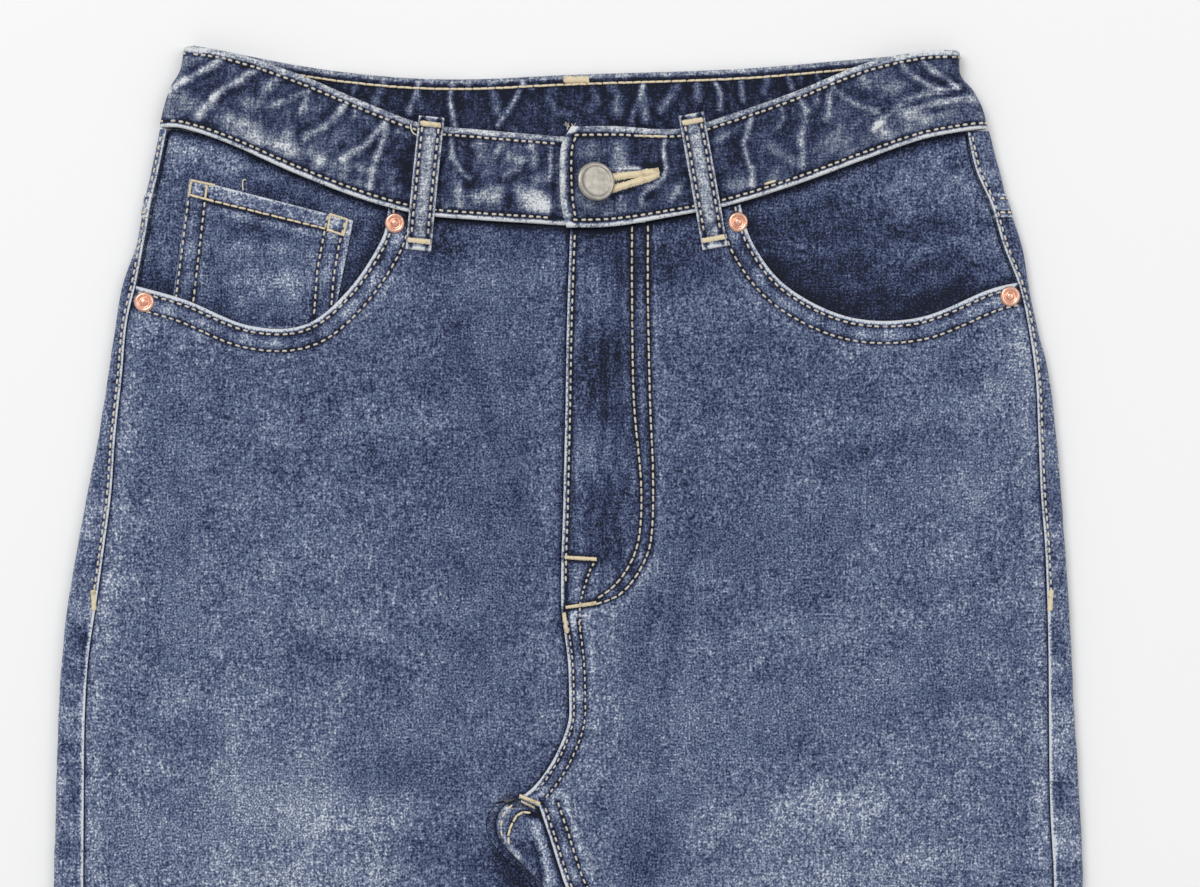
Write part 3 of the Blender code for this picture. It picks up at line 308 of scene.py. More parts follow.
def shiftLine(points, offset):
    # moved sideways, to the right of the line's way, with drop pointing down
    points = np.asarray(points, float)
    way = np.gradient(points, axis=0)
    way /= np.linalg.norm(way, axis=1)[:, None]
    return points + np.stack([-way[:, 1], way[:, 0]], axis=1) * offset


def awayFrom(line, x, drop):
    # distance from a line of points, and how far along it the nearest place is
    best = np.full(x.shape, 9.0)
    place = np.zeros(x.shape)
    run = 0.0
    for (ax, ad), (bx, bd) in zip(line, line[1:]):
        dx, dd = bx - ax, bd - ad
        length = math.hypot(dx, dd)
        if length < 1e-9:
            continue
        t = np.clip(((x - ax) * dx + (drop - ad) * dd) / length**2, 0, 1)
        away = np.hypot(x - ax - t * dx, drop - ad - t * dd)
        nearer = away < best
        best = np.where(nearer, away, best)
        place = np.where(nearer, run + t * length, place)
        run += length
    return best, place


def nearest(line, x, drop):
    return awayFrom(line, x, drop)[0]


def placesOf(numbers):
    return np.reshape(numbers, (-1, 2)) / 1000


def waviness(x, drop, size, seed):
    # a smooth uneven field, about -1 to 1, with swells one size across
    chance = random.Random(seed)
    total = np.zeros(np.shape(x))
    for _ in range(7):
        angle = chance.uniform(0, math.pi)
        pitch = size * chance.uniform(0.7, 1.6)
        shift = chance.uniform(0, 2 * math.pi)
        total += np.sin((x * math.cos(angle) + drop * math.sin(angle)) * 2 * math.pi / pitch + shift)
    return total / 3.2


def sideEdge(side, drop):
    return along(sideRows, 1 if side == "right" else 3, drop)


def sideSeam(side, drop):
    edge = sideEdge(side, drop)
    wrap = np.abs(edge - along(sideRows, 2 if side == "right" else 4, drop))
    return edge - signOf[side] * np.maximum(wrap, foldRadius + seamGap)


def innerFold(side, drop):
    return along(legRows, 1 if side == "right" else 3, drop)


def inseam(side, drop):
    return along(legRows, 2 if side == "right" else 4, drop)


def lineMarks(rows, x, drop):
    # the sum of soft marks along lines: half width, amount, then the places, in millimetres
    total = np.zeros(np.shape(x))
    for halfWidth, amount, *line in rows:
        total += amount * bell(nearest(placesOf(line), x, drop), halfWidth / 1000)
    return total


def frontHeight(x, drop):
    edge = np.where(x > 0, sideEdge("left", drop), -sideEdge("right", drop))
    folds = lineMarks(broadFolds, x, drop) / 1000
    return garment["height"] + folds * ease((edge - np.abs(x) - 0.012) / 0.02)


def window(value, low, high, flat, ramp):
    outside = np.maximum(np.maximum(low - flat - value, value - high - flat), 0.0)
    return 1 - ease(outside / ramp)


backLoop = {"inset": 0.0015, "length": 0.0475, "places": {"right": -0.075, "centre": 0.0, "left": 0.075}}
backLoopEnd = float(max(along(bandRows["back"], 1, x) for x in backLoop["places"].values())
                    + backLoop["inset"] + backLoop["length"])


def floorLift(x, drop):
    overPockets = window(np.abs(x), 0, 0.163, 0.018, 0.012) * window(drop, 0.163, 0.308, 0.022, 0.012)
    overLoops = window(np.abs(x), 0, 0.0806, 0.012, 0.01) * window(drop, 0, backLoopEnd, 0.0025, 0.01)
    return garment["underLift"] * np.maximum(overPockets, overLoops)


# Wash, wear and painted shade: 0 is unfaded navy, 0.5 the thigh's blue and 1 white thread; the dark mark at
# the crotch is painted shadow between the legs
# x, drop, half length, half width, degrees, change in hundredths
fadesAndShade = np.array([
    (-118, 143, 40, 11, 0, -3), (-74, 169, 31, 5, -5, 6), (-72, 190, 26, 9, 0, -8),
    (-147, 176, 35, 5, 28, -5), (-70, 222, 26, 6, 5, -5), (-94, 259, 50, 4, 14, 8),
    (-78, 275, 42, 4, 8, -5), (-78, 288, 40, 4, 3, 5), (-175, 271, 20, 8, 5, -5), (-148, 286, 13, 4, 88, 9),
    (-175, 301, 22, 6, 5, -4), (-65, 319, 34, 14, 10, -8), (-114, 338, 40, 13, 6, 14),
    (-74, 365, 26, 7, 0, 9), (-136, 370, 20, 9, 0, 9), (-34, 169, 72, 4.5, 70, -8),
    (-30, 108, 20, 11, 0, 5), (-184, 128, 12, 9, 0, 8), (-162, 136, 18, 7, 10, 5),
    (-169, 211, 28, 4, 86, -5), (-115, 171, 32, 2, 90, -3), (-199, 229, 40, 10, 88, 5),
    (98, 143, 26, 13, 10, -8), (133, 180, 31, 6, -15, -9), (181, 158, 28, 6, -22, 10),
    (186, 136, 18, 5, -20, 6), (172, 202, 26, 11, -10, 8), (142, 202, 22, 5, 90, -5),
    (102, 246, 26, 4, -10, -5), (137, 235, 48, 4, -15, 5), (146, 255, 48, 3.5, -15, 5),
    (159, 246, 40, 3, -16, -4), (93, 271, 31, 5, -8, 5), (76, 290, 26, 5, -3, 3),
    (159, 290, 40, 9, -14, -7), (98, 310, 36, 6, 0, -5), (115, 334, 36, 10, -8, 14),
    (142, 361, 48, 11, -8, 9), (186, 312, 22, 6, -25, 5), (194, 348, 10, 26, 0, -3),
    (46, 264, 40, 3, 99, -9), (38.5, 273, 36, 2, 99, 8), (49, 158, 12, 26, 0, 5), (36, 99, 22, 10, 0, -16),
    (67, 114, 13, 18, 0, 3), (15.4, 145, 21, 8.5, 90, -24), (17.2, 211, 21, 7, 86, -22),
    (7.5, 110, 15, 6, 90, 12), (9.7, 183, 15, 7, 90, 14), (9.7, 235, 9, 7, 0, 6), (5.3, 268, 22, 5, 90, 12),
    # (-22, 376) is painted shadow between the legs at the crotch
    (-22, 376, 10, 8, 50, -15), (-10, 365, 12, 8, 60, 5), (60, 88, 30, 6, -8, -8),
    (-115, 450, 130, 50, 90, 8), (120, 450, 130, 50, 90, 8), (-110, 620, 60, 8, 12, 6),
    (115, 630, 60, 8, -12, 6), (-110, 660, 60, 10, 6, -5), (115, 675, 60, 10, -6, -5),
    (-125, 900, 140, 35, 92, 3), (125, 900, 140, 35, 88, 3), (-48, 180, 95, 22, 86, -6),
    (52, 190, 85, 20, 92, -5), (100, 240, 60, 30, 0, -3), (-100, 275, 40, 20, 0, -6),
    (192, 165, 40, 12, 90, 5), (214, 310, 70, 8, 90, 7), (-30, 330, 30, 12, 90, -6),
    (-21, 200, 130, 11, 90, -6), (34, 345, 35, 18, 90, -8), (-58, 310, 50, 28, 0, -4),
    (146, 362, 50, 26, 0, -5), (50, 94, 30, 8, 0, -7), (-30, 165, 50, 3, 84, 5), (52, 300, 60, 2, 97, 5),
    (20, 292, 40, 4, 80, 5), (-145, 330, 60, 2.5, 80, 5), (-50, 362, 30, 14, 0, -22),
    (35, 360, 14, 16, 90, -16), (100, 320, 34, 12, -8, -10), (-191, 85, 24, 10, 85, 16),
    (-212, 215, 50, 8, 88, 9), (34, 220, 30, 6, 90, 5), (90, 276, 22, 14, 0, -7), (58, 208, 20, 12, 0, -7),
    (-76, 286, 20, 8, 0, -8), (-87, 330, 12, 10, 0, -8), (-12, 89, 10, 7, 0, -5), (186, 90, 30, 6, 85, 8),
    (14, 113, 16, 5.5, 90, 18), (205, 150, 30, 9, 85, 12), (203, 330, 20, 8, 90, -6),
    (-52, 91, 14, 8, 5, -13), (-30, 106, 14, 6, 0, 6), (-72, 112, 14, 8, 50, 7), (60, 101, 14, 6, -10, -7),
    (-22, 275, 60, 8, 88, -4), (-60, 330, 30, 12, 30, -6), (-4, 245, 34, 6, 90, 5),
    (62, 255, 40, 6, -14, -6), (12, 262, 16, 6, 90, -5), (-58, 265, 30, 10, 20, -4),
    (60, 150, 12, 8, 0, -5), (-85, 340, 45, 2, 86, 5), (86, 300, 50, 3, 94, -4), (-125, 240, 50, 3, 88, -4),
    (170, 290, 60, 3, 84, 4), (203, 240, 90, 8, 90, -5), (-190, 162, 18, 9, 90, 6),
    (100, 112, 12, 10, 0, -8), (17, 190, 12, 6, 90, 7), (17, 231, 8, 6, 90, -5), (38, 231, 10, 8, 0, 5),
    (88, 231, 35, 9, 0, -6), (85, 290, 30, 8, 0, -5), (34, 275, 20, 10, 90, -6), (162, 290, 50, 12, 90, -5),
    (141, 330, 12, 10, 0, -5), (-128, 172, 10, 10, 0, 5), (-45, 241, 18, 10, 90, -5),
    (-86, 231, 10, 8, 0, -4), (-169, 310, 10, 10, 0, -5), (84, 182, 20, 12, 0, -4),
]) / (1000, 1000, 1000, 1000, 1, 100)


def fadeAndShadeAt(x, drop):
    # wash and wear of the cloth, with the painted shadow at the crotch from the table above
    base = np.interp(drop, [0.08, 0.16, 0.24, 0.34, 0.45, 0.75, 1.09],
                     [0.42, 0.45, 0.5, 0.54, 0.56, 0.52, 0.46])
    for fx, fd, halfLength, halfWidth, degrees, change in fadesAndShade:
        c, s = math.cos(math.radians(degrees)), math.sin(math.radians(degrees))
        u = (x - fx) * c + (drop - fd) * s
        v = -(x - fx) * s + (drop - fd) * c
        base += change * bell(u, halfLength) * bell(v, halfWidth)
    return base + 0.038 * waviness(x, drop, 0.024, 11) + 0.022 * waviness(x, drop, 0.011, 13)


# Meshes

def stack(*parts):
    return np.column_stack(parts)


def addObject(name, data):
    thing = bpy.data.objects.new(name, data)
    bpy.context.scene.collection.objects.link(thing)
    return thing


def addPiece(name, points, faces, finish=None, sharpAngle=None):
    mesh = bpy.data.meshes.new(name)
    mesh.from_pydata(np.asarray(points).tolist(), [], faces)
    faceOut(mesh)
    if finish:
        mesh.materials.append(finish)
        mesh.shade_smooth()
    if sharpAngle:
        mesh.set_sharp_from_angle(angle=math.radians(sharpAngle))
    return addObject(name, mesh)


def bakedMesh(thing):
    return bpy.data.meshes.new_from_object(thing.evaluated_get(bpy.context.evaluated_depsgraph_get()))


def standIn(piece, node):
    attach(piece, "root")
    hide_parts(node)


def solidCloth(name, faces, outer, inner, wash, mottle, finish):
    # closes an outer and an inner face of matching points with walls along the free edges
    count = len(outer)
    directed = {(f[i], f[(i + 1) % len(f)]) for f in faces for i in range(len(f))}
    walls = [(b, a, a + count, b + count) for a, b in directed if (b, a) not in directed]
    under = [tuple(i + count for i in reversed(f)) for f in faces]
    points = np.vstack([outer, inner])
    points[:, 1] = waistY - points[:, 1]
    piece = addPiece(name, points, list(faces) + under + walls, finish, 62)
    # the first mark holds wash and wear together with painted shade and painted highlights
    for mark, values in (("wash", wash), ("mottle", mottle)):
        both = values if isinstance(values, tuple) else (values, values)
        both = np.concatenate([np.broadcast_to(face, count) for face in both])
        piece.data.attributes.new(mark, "FLOAT", "POINT").data.foreach_set(
            "value", both.astype(np.float32))
    return piece


def faceOut(mesh):
    # turns every face over if the closed mesh is inside out
    mesh.calc_loop_triangles()
    corners = np.zeros(len(mesh.vertices) * 3)
    mesh.vertices.foreach_get("co", corners)
    corners = corners.reshape(-1, 3)
    triangles = np.zeros(len(mesh.loop_triangles) * 3, int)
    mesh.loop_triangles.foreach_get("vertices", triangles)
    a, b, c = (corners[triangles[k::3]] for k in range(3))
    if np.einsum("ij,ij->i", a, np.cross(b, c)).sum() < 0:
        mesh.flip_normals()


def insideOutline(points, outline):
    odd = np.zeros(len(points), bool)
    x, d = points[:, 0], points[:, 1]
    for (ax, ad), (bx, bd) in zip(outline, np.roll(outline, -1, axis=0)):
        if ad != bd:
            odd ^= ((ad > d) != (bd > d)) & (x < ax + (d - ad) * (bx - ax) / (bd - ad))
    return odd


def cutCloth(outline, stepAt, tracks=(), rim=(0.0004, 0.0009, 0.0015, 0.0021, 0.0028, 0.0036)):
    # fills a flat outline with triangles, with rings of points inside its edge and lanes of
    # points along each stitch row, so that edges and grooves keep their shape
    outline = np.asarray(outline, float)
    closed = np.vstack([outline, outline[:1]])
    low, high = outline.min(axis=0), outline.max(axis=0)
    rows, drop, odd = [], low[1], 0
    while drop < high[1]:
        step = stepAt(drop)
        xs = np.arange(low[0] + (step / 2 if odd else 0), high[0], step)
        rows.append(np.stack([xs, np.full(len(xs), drop), np.full(len(xs), step)], axis=1))
        drop += step * 0.87
        odd = not odd
    rows = np.vstack(rows)
    rows = rows[insideOutline(rows[:, :2], outline)]
    away = nearest(closed, rows[:, 0], rows[:, 1])
    keep = away > rim[-1] + 0.35 * rows[:, 2]
    for line in tracks:
        keep &= nearest(line, rows[:, 0], rows[:, 1]) > 0.0014 + 0.35 * rows[:, 2]
    grid = rows[keep][:, :2]
    lanes = []
    turn = np.sum(closed[:-1, 0] * closed[1:, 1] - closed[1:, 0] * closed[:-1, 1])
    for distance in rim:
        ring = shiftLine(closed, distance if turn > 0 else -distance)[:-1]
        ring = ring[insideOutline(ring, outline)]
        away = nearest(closed, *ring.T)
        lanes.append(ring[away > distance * 0.85])
    for line in tracks:
        for offset in (0, -0.0006, 0.0006, -0.0013, 0.0013):
            lane = evenLine(shiftLine(line, offset), 0.0016)
            close = (lane[:, 1] < 0.4) | (np.arange(len(lane)) % 4 == 0)
            lane = lane[close]
            lane = lane[insideOutline(lane, outline)]
            away = nearest(closed, *lane.T)
            lanes.append(lane[away > rim[-1] + 0.0005])
    lanes = np.vstack(lanes)
    _, first = np.unique(np.round(lanes / 0.00042), axis=0, return_index=True)
    points = np.vstack([outline, lanes[np.sort(first)], grid])
    edge = [(i, (i + 1) % len(outline)) for i in range(len(outline))]
    made = delaunay_2d_cdt([Vector(p) for p in points], edge, [], 1, 1e-7)
    points = np.array([tuple(p) for p in made[0]])
    faces = [tuple(f) for f in made[2]]
    away = nearest(closed, *points.T)
    return points, faces, away


def gridFaces(n):
    corners = [n[:-1, :-1], n[:-1, 1:], n[1:, 1:], n[1:, :-1]]
    return [tuple(f) for f in np.stack(corners, axis=-1).reshape(-1, 4).tolist()]


def gridCloth(name, shape, outer, inner, wash, mottle, finish):
    faces = gridFaces(np.arange(shape[0] * shape[1]).reshape(shape))
    return solidCloth(name, faces, outer, inner, wash, mottle, finish)


def roundedRim(away, reach, depth):
    # how far the surface has dropped, away from the edge of a rounded rim
    t = np.clip(1 - away / reach, 0, 1)
    return depth * (1 - np.sqrt(np.maximum(0, 1 - t * t)))


# Materials

def newMaterial(name):
    material = bpy.data.materials.new(name)
    material.use_nodes = True
    return material, material.node_tree, material.node_tree.nodes["Principled BSDF"]


def setInputs(node, values):
    for socket, value in values.items():
        node.inputs[socket].default_value = value


def objectPlace(tree):
    return tree.nodes.new("ShaderNodeTexCoord").outputs["Object"]


def mathNode(tree, operation, first, second, third=None):
    node = tree.nodes.new("ShaderNodeMath")
    node.operation = operation
    for socket, value in zip(node.inputs, (first, second, third)):
        if value is None:
            continue
        if isinstance(value, (int, float)):
            socket.default_value = value
        else:
            tree.links.new(value, socket)
    return node.outputs[0]


def mappedTexture(tree, kind, place, stretch=(1, 1, 1), turn=0):
    mapping = tree.nodes.new("ShaderNodeMapping")
    setInputs(mapping, {"Scale": stretch, "Rotation": (0, 0, math.radians(turn))})
    tree.links.new(place, mapping.inputs["Vector"])
    texture = tree.nodes.new(kind)
    tree.links.new(mapping.outputs[0], texture.inputs["Vector"])
    return texture


def stretchedNoise(tree, place, stretch, detail):
    noise = mappedTexture(tree, "ShaderNodeTexNoise", place, stretch)
    setInputs(noise, {"Scale": 1.0, "Detail": detail})
    return noise.outputs["Fac"]


def colourRamp(tree, value, stops, shader):
    ramp = tree.nodes.new("ShaderNodeValToRGB")
    elements = ramp.color_ramp.elements
    for k, (at, colour) in enumerate(stops):
        stop = elements[k] if k < 2 else elements.new(at)
        stop.position, stop.color = at, (*colour, 1)
    tree.links.new(value, ramp.inputs[0])
    tree.links.new(ramp.outputs[0], shader.inputs["Base Color"])


def addBump(tree, height, shader, strength, distance=0.0001):
    bump = tree.nodes.new("ShaderNodeBump")
    setInputs(bump, {"Strength": strength, "Distance": distance})
    tree.links.new(height, bump.inputs["Height"])
    tree.links.new(bump.outputs[0], shader.inputs["Normal"])


def markNode(tree, name):
    node = tree.nodes.new("ShaderNodeAttribute")
    node.attribute_name = name
    return node.outputs["Fac"]


denimLook = {
    "warpStreak": 0.8,  # long upright slubs
    "weftStreak": 0.52,  # short level ones
    "slub": 0.2,  # faint upright lines as long as a finger joint
    "salt": 1.62,  # single pale and dark yarn crossings
    "twill": 0.08,
    "patch": 0.2,  # soft clouds of the wash
    "twillPitch": 0.0011,
    "bump": 0.6,
    "roughness": 0.88,
    "sheen": 0.06,
    # wash and shading value, linear colour
    "washes": [
        (0.00, (0.005, 0.008, 0.018)), (0.15, (0.016, 0.022, 0.058)),
        (0.3, (0.039, 0.053, 0.118)), (0.45, (0.078, 0.104, 0.188)),
        (0.55, (0.116, 0.148, 0.24)), (0.7, (0.2, 0.238, 0.336)),
        (0.85, (0.365, 0.405, 0.5)), (1.00, (0.64, 0.675, 0.73)),
    ],
}


def denimMaterial(name, **changes):
    look = dict(denimLook, **changes)
    material, tree, shader = newMaterial(name)
    place = objectPlace(tree)
    streak = stretchedNoise(tree, place, (1150, 250, 700), 1.0)
    weft = stretchedNoise(tree, place, (280, 1300, 700), 0.0)
    salt = stretchedNoise(tree, place, (1280, 1180, 900), 0.0)
    slubs = stretchedNoise(tree, place, (850, 42, 300), 0.0)
    clouds = stretchedNoise(tree, place, (38, 26, 30), 1.0)
    mottles = stretchedNoise(tree, place, (150, 120, 120), 3.0)
    twill = mappedTexture(tree, "ShaderNodeTexWave", place, turn=32)
    setInputs(twill, {"Scale": 1 / (look["twillPitch"] * 3.18), "Distortion": 1.2, "Detail Scale": 2.0})
    # wash and wear, with painted shade and highlights, from the mesh
    wash = markNode(tree, "wash")
    grain = mathNode(tree, "MULTIPLY_ADD", wash, 0.16, 0.54)  # faded cloth is the grainier
    for part, amount in (
        (streak, look["warpStreak"]), (weft, look["weftStreak"]), (salt, look["salt"]),
        (twill.outputs["Fac"], look["twill"]), (clouds, look["patch"]), (slubs, look["slub"]),
    ):
        centred = mathNode(tree, "MULTIPLY", mathNode(tree, "SUBTRACT", part, 0.5), grain)
        wash = mathNode(tree, "MULTIPLY_ADD", centred, amount, wash)
    centred = mathNode(tree, "SUBTRACT", mottles, 0.5)
    wash = mathNode(tree, "MULTIPLY_ADD", centred, markNode(tree, "mottle"), wash)
    colourRamp(tree, wash, look["washes"], shader)
    relief = mathNode(tree, "MULTIPLY_ADD", twill.outputs["Fac"], 0.5, salt)
    relief = mathNode(tree, "MULTIPLY_ADD", streak, 0.8, relief)
    addBump(tree, relief, shader, look["bump"], 0.0003)
    setInputs(shader, {"Roughness": look["roughness"], "Sheen Weight": look["sheen"],
                       "Specular IOR Level": 0.25})
    return material


def threadMaterial(name, colour, shadow):
    material, tree, shader = newMaterial(name)
    place = objectPlace(tree)
    fibre = stretchedNoise(tree, place, (2600, 2600, 2600), 2.0)
    wear = stretchedNoise(tree, place, (260, 260, 200), 2.0)
    both = mathNode(tree, "MULTIPLY_ADD", wear, 1.3, mathNode(tree, "MULTIPLY", fibre, 0.8))
    colourRamp(tree, both, [(0.62, shadow), (1.25 / 1.3, colour)], shader)
    addBump(tree, fibre, shader, 0.4)
    setInputs(shader, {"Roughness": 0.6, "Sheen Weight": 0.2})
    return material


def metalMaterial(name, colour, dark, roughness, grain):
    material, tree, shader = newMaterial(name)
    place = objectPlace(tree)
    speckle = stretchedNoise(tree, place, (grain, grain, grain), 3.0)
    colourRamp(tree, speckle, [(0.35, dark), (0.6, colour)], shader)
    addBump(tree, speckle, shader, 0.25)
    setInputs(shader, {"Metallic": 0.9, "Roughness": roughness})
    return material


washedDenim = denimMaterial("washedDenim")
rubbedWashes = denimLook["washes"][:3] + [
    (0.45, (0.088, 0.11, 0.178)), (0.55, (0.142, 0.165, 0.232)), (0.7, (0.252, 0.28, 0.342)),
    (0.85, (0.44, 0.468, 0.515)), (1.00, (0.69, 0.71, 0.735)),
]
bandDenim = denimMaterial("bandDenim", salt=1.15, warpStreak=0.6, weftStreak=0.6, patch=0.08,
                          washes=rubbedWashes)
darkDenim = denimMaterial("darkDenim")
creamThread = threadMaterial("creamThread", (0.76, 0.65, 0.45), (0.33, 0.26, 0.16))
paleThread = threadMaterial("paleThread", (0.62, 0.57, 0.49), (0.2, 0.18, 0.15))
buttonMetal = metalMaterial("buttonMetal", (0.46, 0.43, 0.385), (0.35, 0.325, 0.29), 0.38, 420)
rivetCopper = metalMaterial("rivetCopper", (0.92, 0.55, 0.42), (0.8, 0.43, 0.31), 0.26, 420)
print("materials made")


# Stitches, gathered in lists and joined at the end

threads = {"cream": [], "pale": []}
sewing = {"pitch": 0.0035, "length": 0.0024, "radius": 0.00046, "sink": 0.00034, "stand": 0.0001}


def addStrands(kind, starts, ends, normals, radius, sink, stand):
    # each strand is a short thread that dips into the cloth at both ends
    starts, ends, normals = (np.asarray(a, float) for a in (starts, ends, normals))
    if len(starts) == 0:
        return
    lift = np.array([-sink, 0.55 * stand, stand, 0.55 * stand, -sink])
    girth = np.array([0.62, 1.0, 1.0, 1.0, 0.62]) * radius
    t = np.array([0.0, 0.16, 0.5, 0.84, 1.0])
    way = ends - starts
    way /= np.maximum(np.linalg.norm(way, axis=1), 1e-9)[:, None]
    across = np.cross(way, normals)
    across /= np.maximum(np.linalg.norm(across, axis=1), 1e-9)[:, None]
    centres = (starts[:, None] + (ends - starts)[:, None] * t[None, :, None]
               + normals[:, None] * lift[None, :, None])
    turns = np.arange(6) * math.pi / 3
    spokes = (across[:, None] * np.cos(turns)[None, :, None]
              + normals[:, None] * np.sin(turns)[None, :, None])
    rings = centres[:, :, None] + spokes[:, None] * girth[None, :, None, None]
    threads[kind].append((rings, centres[:, 0], centres[:, -1]))


def sewPath(kind, points, normals=(0, 0, 1.0), pitch=sewing["pitch"], length=sewing["length"],
            radius=sewing["radius"]):
    # stitches along a path in space (x, drop, z)
    points = np.asarray(points, float)
    normals = np.broadcast_to(normals, (len(points), 3))
    run = runAlong(points)
    count = int(run[-1] / pitch)
    if count < 1:
        return
    chance = random.Random(len(points) + count)
    first = np.arange(count) * pitch + (pitch - length) / 2
    first += np.array([chance.uniform(-0.07, 0.07) for _ in range(count)]) * pitch

    def at(s, values):
        return np.stack([np.interp(s, run, values[:, k]) for k in range(3)], axis=1)

    wobble = np.array([chance.uniform(-1, 1) for _ in range(count)]) * 0.00012
    middle = at(first + length / 2, normals)
    middle /= np.linalg.norm(middle, axis=1)[:, None]
    starts, ends = at(first, points), at(first + length, points)
    way = ends - starts
    way /= np.maximum(np.linalg.norm(way, axis=1), 1e-9)[:, None]
    sideways = np.cross(way, middle) * wobble[:, None]
    addStrands(kind, starts + sideways, ends - sideways, middle, radius,
               sewing["sink"], sewing["stand"] + radius * 0.55)


def sewFlat(kind, line, heightAt, **settings):
    # stitches along a flat line (x, drop), laid on a surface
    line = evenLine(line, 0.0012)
    z = heightAt(line[:, 0], line[:, 1])
    sewPath(kind, stack(line, z), **settings)


def sewUnder(kind, line):
    # stitches on the flat underside
    line = evenLine(line, 0.002)
    sewPath(kind, stack(line, np.full(len(line), restLift + 0.0003)), (0, 0, -1.0))


def barTack(kind, start, end, heightAt, width=0.0019, spacing=0.00052):
    # a dense bar of short strands across the way from start to end
    start, end = np.array(start, float), np.array(end, float)
    length = np.linalg.norm(end - start)
    way = (end - start) / length
    across = np.array([-way[1], way[0]])
    count = max(3, int(length / spacing))
    chance = random.Random(count)
    t = (np.arange(count) + 0.5) / count
    centre = start + np.outer(t, end - start)
    slant = way * spacing * 0.4
    spread = np.array([1 + chance.uniform(-0.12, 0.12) for _ in range(count)])[:, None]
    one = centre - across * width / 2 * spread - slant
    two = centre + across * width / 2 * spread + slant
    z = heightAt(centre[:, 0], centre[:, 1])
    normals = np.tile([0.0, 0.0, 1.0], (count, 1))
    addStrands(kind, stack(one, z), stack(two, z), normals, 0.00034, 0.0002, 0.00042)


def joinThreads(kind, name, finish):
    points, faces, base = [], [], 0
    ring = np.arange(6)
    after = (ring + 1) % 6
    for rings, first, last in threads[kind]:
        count = len(rings)
        block = np.concatenate([rings.reshape(count, 30, 3), first[:, None], last[:, None]], axis=1)
        starts = base + np.arange(count)[:, None, None] * 32
        quads = np.concatenate([
            np.stack([k * 6 + ring, k * 6 + after, (k + 1) * 6 + after, (k + 1) * 6 + ring], axis=1)
            for k in range(4)])
        caps = np.concatenate([
            np.stack([np.full(6, 30), after, ring], axis=1),
            np.stack([np.full(6, 31), 24 + ring, 24 + after], axis=1)])
        faces += (starts + quads[None]).reshape(-1, 4).tolist()
        faces += (starts + caps[None]).reshape(-1, 3).tolist()
        points.append(block.reshape(-1, 3))
        base += count * 32
    points = np.vstack(points)
    points[:, 1] = waistY - points[:, 1]
    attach(addPiece(name, points, faces, finish), "root")


# Front panels

frontPanel = {
    "closeStep": garment["meshStep"],
    "farStep": 0.007,
    "mouthRows": (0.0025, 0.0098),  # stitch rows, measured in from the edge
    "riseRows": (0.0021, 0.0072),
    "flyRow": 0.0022,
    "inseamRows": (0.0025, 0.0085),
    "hemRow": 0.0108,
    "tackDrop": 0.25,  # where the fly ends and the felled rise begins
}
flyOuterRow = smoothLine(placesOf([
    35.2, 81.4, 35.2, 114.4, 36.1, 158.4, 37.4, 189.2, 37, 215.6, 33.9, 228.8, 25.1, 242, 14.1, 247.7, -1.2,
    249.9,
]), 0.002)
flyInnerRow = smoothLine(placesOf([
    28.2, 81.4, 28.2, 114.4, 29, 158.4, 32.1, 193.6, 31.7, 215.6, 28.2, 228.8, 20.7, 239.8, 11.9, 246.4,
]), 0.002)
flyBars = [placesOf(places) for places in (
    (-1.4, 227.6, 12.6, 228.4), (-1, 249.6, 12.5, 247.6), (-1.8, 252, -0.4, 261), (-21.3, 332.4, -12.2, 336),
)]
flyTackTail = np.array(smoothLine(placesOf([
    11.8, 229.8, 10, 232.5, 7.6, 239.5, 5.8, 246, 5.2, 251, 5.6, 261,
]), 0.002))


def riseLine(low, high, step=0.002):
    drops = np.linspace(low, high, max(2, round((high - low) / step)))
    return stack(along(frontRise, 1, drops), drops)


def seamDrops(low, high):
    near = np.arange(low, min(high, 0.402), 0.0022)
    far = np.arange(max(low, 0.402), high, 0.007)
    return np.concatenate([near, far[far > low], [high]])


def frontOutline(side):
    half = signOf[side] * seamGap / 2
    waistDrop = along(bandRows[side], 2, 0.0) + seamGap
    rise = riseLine(waistDrop, frontRise[-1, 0]) + (half, 0)
    drops = seamDrops(garment["crotchDrop"] + tongue[side] - 2 * seamGap, hemDrop)
    inner = stack(inseam(side, drops) + half, drops)
    outerX = sideSeam(side, hemDrop) - half
    hemX = np.linspace(inner[-1, 0], outerX, 44)[1:-1]
    hem = stack(hemX, np.full(len(hemX), hemDrop))
    mouth = np.array(smoothLine(pocketMouths[side], 0.002))
    drops = seamDrops(mouth[-1, 1], hemDrop)[::-1]
    seam = stack(sideSeam(side, drops) - half, drops)
    waistX = np.linspace(mouth[0, 0], rise[0, 0], 36)[:-1]
    waist = stack(waistX, along(bandRows[side], 2, waistX) + seamGap)
    return np.vstack([rise, inner, hem, seam, mouth[::-1][1:-1], waist])


def rope(place, seed):
    # the uneven pale and dark marks that washing leaves along a felled seam
    return (np.sin(place / 0.0021 + 2.3 * np.sin(place / 0.013 + seed)) * 0.6
            + np.sin(place / 0.0067 + seed) * 0.5)


def stitchGroove(line, x, drop, z, wash, depth=0.00035, dark=0.62):
    # the cloth is drawn in under a row and puffs up beside it; the groove is painted dark as shade
    away = nearest(line, x, drop)
    z = z - depth * bell(away, 0.0007) + 0.00012 * bell(away - 0.0017, 0.0008)
    wash = wash - dark * bell(away, 0.0011) + 0.1 * bell(away - 0.0023, 0.0008)
    return z, wash


frontLines = {}
for side in signOf:
    drops = seamDrops(garment["crotchDrop"] + tongue[side], hemDrop - 0.001)
    sideDrops = seamDrops(0.107, 1.094)
    frontLines[side] = {
        "mouth": np.array(smoothLine(pocketMouths[side], 0.003)),
        "rise": riseLine(0.0835, frontRise[-1, 0], 0.003),
        "inseam": stack(inseam(side, drops), drops)[::2],
        "side": stack(sideSeam(side, sideDrops), sideDrops)[::2],
    }


